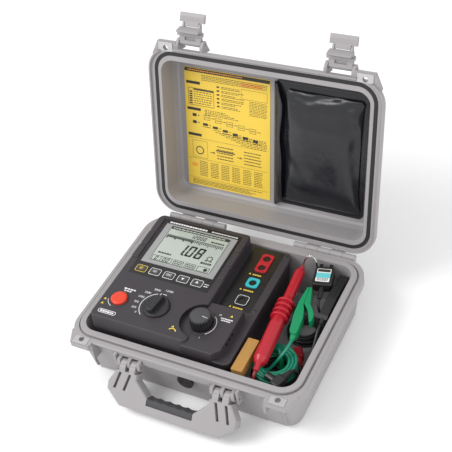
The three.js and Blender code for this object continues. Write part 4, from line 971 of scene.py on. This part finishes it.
socket_frames("line_frame", (94, 75), red_plastic, (81.1, 87.9))
socket_frames("guard_frame", (42,), cyan_plastic)
socket_frames("earth_frame", (5,), black_plastic)
bench = Bench()
for y in JACK_Y:
    ring = [(3.4, -12), (5.95, -12), (5.95, -2.4), (3.6, -2.6), (3.4, -3), (3.4, -12)]
    bench.turned(ring, at(37, y, PANEL), 32)
bench.done("socket_liners", seal_rubber, "case")
bench = Bench()
bench.frame(27.6, 46.4, -4.4, 14.4, PANEL + RISE - 0.05, PANEL + RISE + 0.12, 0.7, 4.4)
bench.done("terminal_outlines", white_ink, "case")
bench = Bench()
for x, y in SCREWS:
    z = PANEL if x > 0 else DECK
    bench.turned([(0, 0.9), (1.9, 0.8), (2.6, 0.3), (2.6, -0.3), (0, -0.3)], at(x, y, z), 24)
bench.done("cover_screws", segment_dark, "case")
bench = Bench()
for x, y in SCREWS:
    z = (PANEL if x > 0 else DECK) + 0.75
    for turn in (20, 110):
        bench.plate(-1.5, 1.5, -0.3, 0.3, 0, 0.25, turn=at(x, y, z, turn))
bench.done("screw_slots", black_ink, "case")

# %% [markdown]
# ## The instruction label
# The real label is dense print. Its words are left out, and rows of short bars, boxes, a ring
# and a table keep its look. It is drawn flat, as seen with the lid open, and then tilted.

# %% Print on the label
LABEL_W, LABEL_H = 147, 203
FACE = Matrix(((1, 0, 0, -152), (0, -1, 0, 108), (0, 0, -1, 130.3), (0, 0, 0, 1)))
label_place = LID_OPEN @ FACE
LOW, HIGH = -0.05, 0.1


def down(v):
    """Height on the label, from a distance below its top edge."""
    return LABEL_H - v


bench = Bench(label_place)
bench.plate(0.6, LABEL_W - 0.6, down(6.5), down(0.8), LOW, HIGH)
for top in (22, 66, 110):
    bench.plate(3, 27, down(top + 4.6), down(top), LOW, HIGH)
bench.frame(6, 51, down(62), down(33), LOW, HIGH, 0.7)
bench.plate(15, 50, down(36.5), down(34), LOW, HIGH)
for i in range(6):
    y = 38.5 + 3.8 * i
    bench.plate(8, 13, down(y + 2.4), down(y), LOW, HIGH)
    block_row(bench, 16, 48, down(y + 1.2), down(y), LOW, HIGH, rng, 2, 5, 1.4)
for i in range(6):
    y = 24 + 6.4 * i
    bench.plate(56, 60.5, down(y + 2.6), down(y), LOW, HIGH)
    for k in range(2):
        v = y + 2.4 * k
        end = rng.uniform(82, 108)
        block_row(bench, 64, end, down(v + 1), down(v), LOW, HIGH, rng, 1.5, 5, 1)
for i in range(14):
    v = 10 + 2.5 * i if i < 4 else 40 + 2.5 * (i - 4)
    start = 30 if i < 4 else 112
    block_row(bench, start, 142, down(v + 0.9), down(v), LOW, HIGH, rng, 1.5, 5, 1)
bench.frame(98, 142, down(38), down(22), LOW, HIGH, 0.4)
for i in range(5):
    x, v = 32 + 20 * i, 76 + 2.2 * i
    bench.frame(x, x + 11, down(v + 8), down(v), LOW, HIGH, 0.6)
    block_row(bench, x + 1.6, x + 9.6, down(v + 4.6), down(v + 3.4), LOW, HIGH, rng, 1, 3, 0.8)
    bench.plate(x + 12.5, x + 17, down(v + 4.3), down(v + 3.6), LOW, HIGH)
    bench.triangle(x + 17.6, down(v + 4), 1.3, LOW, HIGH, 0)
for i in range(6):
    x, v = 30 + 17.5 * i, 90 + 2.6 * i
    bench.plate(x, x + 9, down(v + 4.2), down(v), LOW, HIGH)
    bench.plate(x + 10.6, x + 15, down(v + 2.6), down(v + 1.8), LOW, HIGH)
    block_row(bench, x, x + 15, down(v + 7), down(v + 5.8), LOW, HIGH, rng, 1, 3, 0.8)
for i in range(7):
    v = 102 + 2.6 * i
    block_row(bench, 52 + 9 * i, 142, down(v + 1), down(v), LOW, HIGH, rng, 1.5, 5, 1.4)
for i in range(4):
    v = 67 + 2.6 * i
    block_row(bench, 34, 70 + 8 * i, down(v + 1), down(v), LOW, HIGH, rng, 1.5, 5, 1.4)
for v in (76, 88):
    bench.plate(12, 19, down(v + 5), down(v), LOW, HIGH)
    bench.triangle(23, down(v + 2.5), 1.7, LOW, HIGH, 0)
bench.turned([(5.6, 0), (7.2, 0), (7.2, HIGH), (5.6, HIGH), (5.6, 0)], at(23, down(139), 0))
bench.frame(10, 37, down(152), down(122), LOW, HIGH, 0.4)
for x in (42, 90):
    bench.plate(x, x + 5, down(139.6), down(138.4), LOW, HIGH)
    bench.triangle(x + 6.5, down(139), 2.3, LOW, HIGH, 0)
bench.plate(52, 86, down(135), down(133.2), LOW, HIGH)
for x0, x1 in ((54, 84), (102, 132)):
    for i in range(5):
        v = 126 + 5.2 * i
        if abs(v - 134) > 2:
            block_row(bench, x0, x1, down(v + 1.6), down(v), LOW, HIGH, rng, 1.5, 5, 1)
for v in (118, 154, 189):
    bench.plate(3, LABEL_W - 4, down(v + 0.35), down(v), LOW, HIGH)
for column in range(6):
    x = 22 + 19.5 * column
    for row in range(9):
        v = 158 + 3.1 * row
        block_row(bench, x, x + 14.5, down(v + 1.2), down(v), LOW, HIGH, rng, 1.2, 3.6, 0.9)
for i in range(4):
    v = 192 + 2.4 * i
    block_row(bench, 8, rng.uniform(110, 140), down(v + 1), down(v), LOW, HIGH, rng, 2, 6, 1)
bench.done("label_print_black", black_ink, "lid", smooth=20)
bench = Bench(label_place)
bench.plate(98, 134, down(17.5), down(11.5), LOW, HIGH - 0.04)
bench.plate(8, 18, down(169), down(163), LOW, HIGH - 0.04)
block_row(bench, 6, 100, down(4.5), down(2.8), HIGH - 0.02, HIGH + 0.05, rng, 1.5, 4, 0.8)
bench.done("label_print_orange", orange_ink, "lid", smooth=20)

# %% [markdown]
# ## The document pouch
# The pouch is glossy black vinyl: a welded back, a front that bulges over the papers inside,
# and a soft mouth along its left side. The front starts as a thin rounded plate, is remeshed
# to even cells and blown up by a short cloth simulation. Its seams and folds come after that,
# as moves of its points, because the remesh would erase them.

# %% Vinyl finish
vinyl_finish = Finish("pouch_vinyl", (0.009, 0.0095, 0.013), 0.3, coat=0.12)
creases = vinyl_finish.noise(38, 4, 0.55)
pores = vinyl_finish.noise(2600, 2)
vinyl_finish.feed("Roughness", creases * 0.22 + pores * 0.06 + 0.16)
vinyl_finish.bump(creases * 0.9 + pores * 0.02, 0.0011)
vinyl = vinyl_finish.material

# %% Back board and welt
POUCH_W, POUCH_H = 146, 207
pouch_face = Matrix(((1, 0, 0, 5), (0, -1, 0, 106), (0, 0, -1, 130.7), (0, 0, 0, 1)))
pouch_place = LID_OPEN @ pouch_face
bench = Bench(pouch_place)
bench.plate(0, POUCH_W, 0, POUCH_H, 0.02, 1.3, corner=9, edge=0.4, segments=8)
bench.frame(2.5, POUCH_W - 2.5, 2.5, POUCH_H - 2.5, 1.2, 1.9, 2.2, 8)
bench.done("pouch_back", vinyl, "lid")

# %% Cloth for the front
START_THICK = 3.0
CELL = 4.6
SWELL_CAP = 4.5
PRESSURE = 4.0
bench = Bench()
bench.plate(9, 146, 1, 201, 1.6, 1.6 + START_THICK, corner=15, edge=1.0, segments=8)
bmesh.ops.scale(bench.bm, vec=(MM, MM, MM), verts=bench.bm.verts)
start_mesh = bpy.data.meshes.new("pouch_start")
bench.bm.to_mesh(start_mesh)
bench.bm.free()
blank = bpy.data.objects.new("pouch_blank", start_mesh)
remesh = blank.modifiers.new("even", "REMESH")
remesh.mode = "VOXEL"
remesh.voxel_size = CELL * MM
even_mesh = mesh_of(blank)
flat_spots = [v.co.copy() for v in even_mesh.vertices]
puff = bpy.data.objects.new("pouch_puff", even_mesh)
bpy.context.scene.collection.objects.link(puff)
cloth = puff.modifiers.new("cloth", "CLOTH")
cloth.settings.quality = 6
cloth.settings.mass = 0.3
cloth.settings.use_pressure = True
cloth.settings.uniform_pressure_force = PRESSURE
cloth.settings.tension_stiffness = 12
cloth.settings.bending_stiffness = 0.4
cloth.settings.effector_weights.gravity = 0
for step in range(1, 21):
    bpy.context.scene.frame_set(step)
shown = puff.evaluated_get(bpy.context.evaluated_depsgraph_get())
blown = bpy.data.meshes.new_from_object(shown)
bpy.context.scene.frame_set(1)
bpy.data.objects.remove(puff)


def bell(value, width):
    return math.exp(-((value / width) ** 2))


bm = bmesh.new()
bm.from_mesh(blown)
bm.verts.ensure_lookup_table()
for vert, before in zip(bm.verts, flat_spots):
    move = vert.co - before
    cap = SWELL_CAP * MM
    if move.length > cap:
        vert.co = before + move * (cap / move.length)
    spot = vert.co / MM
    u, v, w = spot
    side = smooth((u - 8) / 50) * smooth((147 - u) / 44)
    ends = smooth((v + 2) / 50) * smooth((188 - v) / 50)
    if w > 1.6 + START_THICK * 0.5:
        w += 9.5 * side * ends
        seam = 180 + 3.2 * math.sin(u / 13 + 0.6) + 1.2 * math.sin(u / 5)
        across = smooth((u - 22) / 16) * smooth((141 - u) / 12)
        w += 2.4 * across * bell(v - seam, 2.8) - 2.2 * across * bell(v - seam - 6.5, 4)
        right_fold = (u - 136) * 0.87 + (v - 176) * 0.5
        along = smooth((v - 88) / 30) * smooth((184 - v) / 18)
        w += 2.6 * along * bell(right_fold + 10, 9)
        w -= 2.6 * smooth((v - 60) / 50) * smooth((174 - v) / 22) * bell(u - 128, 7)
        left_fold = (u - 26) * 0.9 + (v - 112) * 0.44
        w += 1.8 * bell(v - 92, 34) * bell(left_fold, 8)
        w += 2.2 * bell(u - 46, 22) * bell(v - 44, 20)
        w -= 1.2 * bell(u - 92, 16) * bell(v - 62, 26)
    w = max(1.5, min(w, 20))
    vert.co = Vector((u, v, w))
for turn in range(2):
    bmesh.ops.smooth_vert(
        bm, verts=bm.verts, factor=0.35, use_axis_x=True, use_axis_y=True, use_axis_z=True
    )
bench = Bench(pouch_place)
bench.take(bm)
pouch = bench.done("pouch_front", vinyl, "lid", ["document_pouch"], smooth=180)
finer = pouch.modifiers.new("finer", "SUBSURF")
finer.levels = 1
finer.render_levels = 1

# %% [markdown]
# The mouth's edge is a strip of the same vinyl that leans over the bulge. It is a grid bent
# into a quarter roll, with a wavy free edge, and Solidify gives it its thickness.

# %% Mouth strip
STRIP_ROWS, STRIP_COLUMNS = 60, 8
bm = bmesh.new()
bmesh.ops.create_grid(bm, x_segments=STRIP_COLUMNS, y_segments=STRIP_ROWS, size=0.5)
for vert in bm.verts:
    t, s = vert.co.x + 0.5, vert.co.y + 0.5
    v = -4 + s * (POUCH_H - 1)
    reach = 15.5 + 1.6 * math.sin(s * 7.5 + 0.4) + 0.9 * math.sin(s * 17 + 1)
    reach *= 0.3 + 0.7 * smooth(s / 0.06) * smooth((1.05 - s) / 0.22)
    rise = 10 * (0.4 + 0.6 * smooth(s / 0.08) * smooth((1.04 - s) / 0.15))
    vert.co = Vector((-2.6 + reach * t**1.25, v, 0.6 + rise * math.sin(t * math.pi / 2)))
bench = Bench(pouch_place)
bench.take(bm)
strip_area = sum(f.calc_area() for f in bench.bm.faces) * MM * MM
strip = bench.done("pouch_mouth", vinyl, "lid", smooth=180)
skin = strip.modifiers.new("skin", "SOLIDIFY")
skin.thickness = 0.8 * MM
skin.offset = 0
strip_length = (POUCH_H - 1) * MM
strip_flat = (strip_area / strip_length, strip_length)

# %% [markdown]
# ## The adapter's label
# The adapter carries a small white label with a coloured band and rows of short bars.

# %% Adapter label
adapter_place = Matrix.Translation((131, 89, 80.5)) @ Matrix.Rotation(math.radians(12), 4, "Z")
bench = Bench(adapter_place)
bench.plate(-10.5, 10.5, -13, 13, 8.4, 8.75, corner=1.5)
bench.done("adapter_label", white_ink, "case")
bench = Bench(adapter_place)
bench.plate(-10.4, 10.4, -5.5, 4.5, 8.7, 8.85)
bench.done("adapter_label_band", teal_ink, "case")
bench = Bench(adapter_place)
for i in range(4):
    block_row(bench, -8, 8, -11 + 2 * i, -10 + 2 * i, 8.74, 8.84, rng, 1.5, 4, 0.8)
bench.plate(-9.4, 9.4, 6.5, 12, 8.74, 8.84, corner=0.8)
bench.done("adapter_label_marks", black_ink, "case")
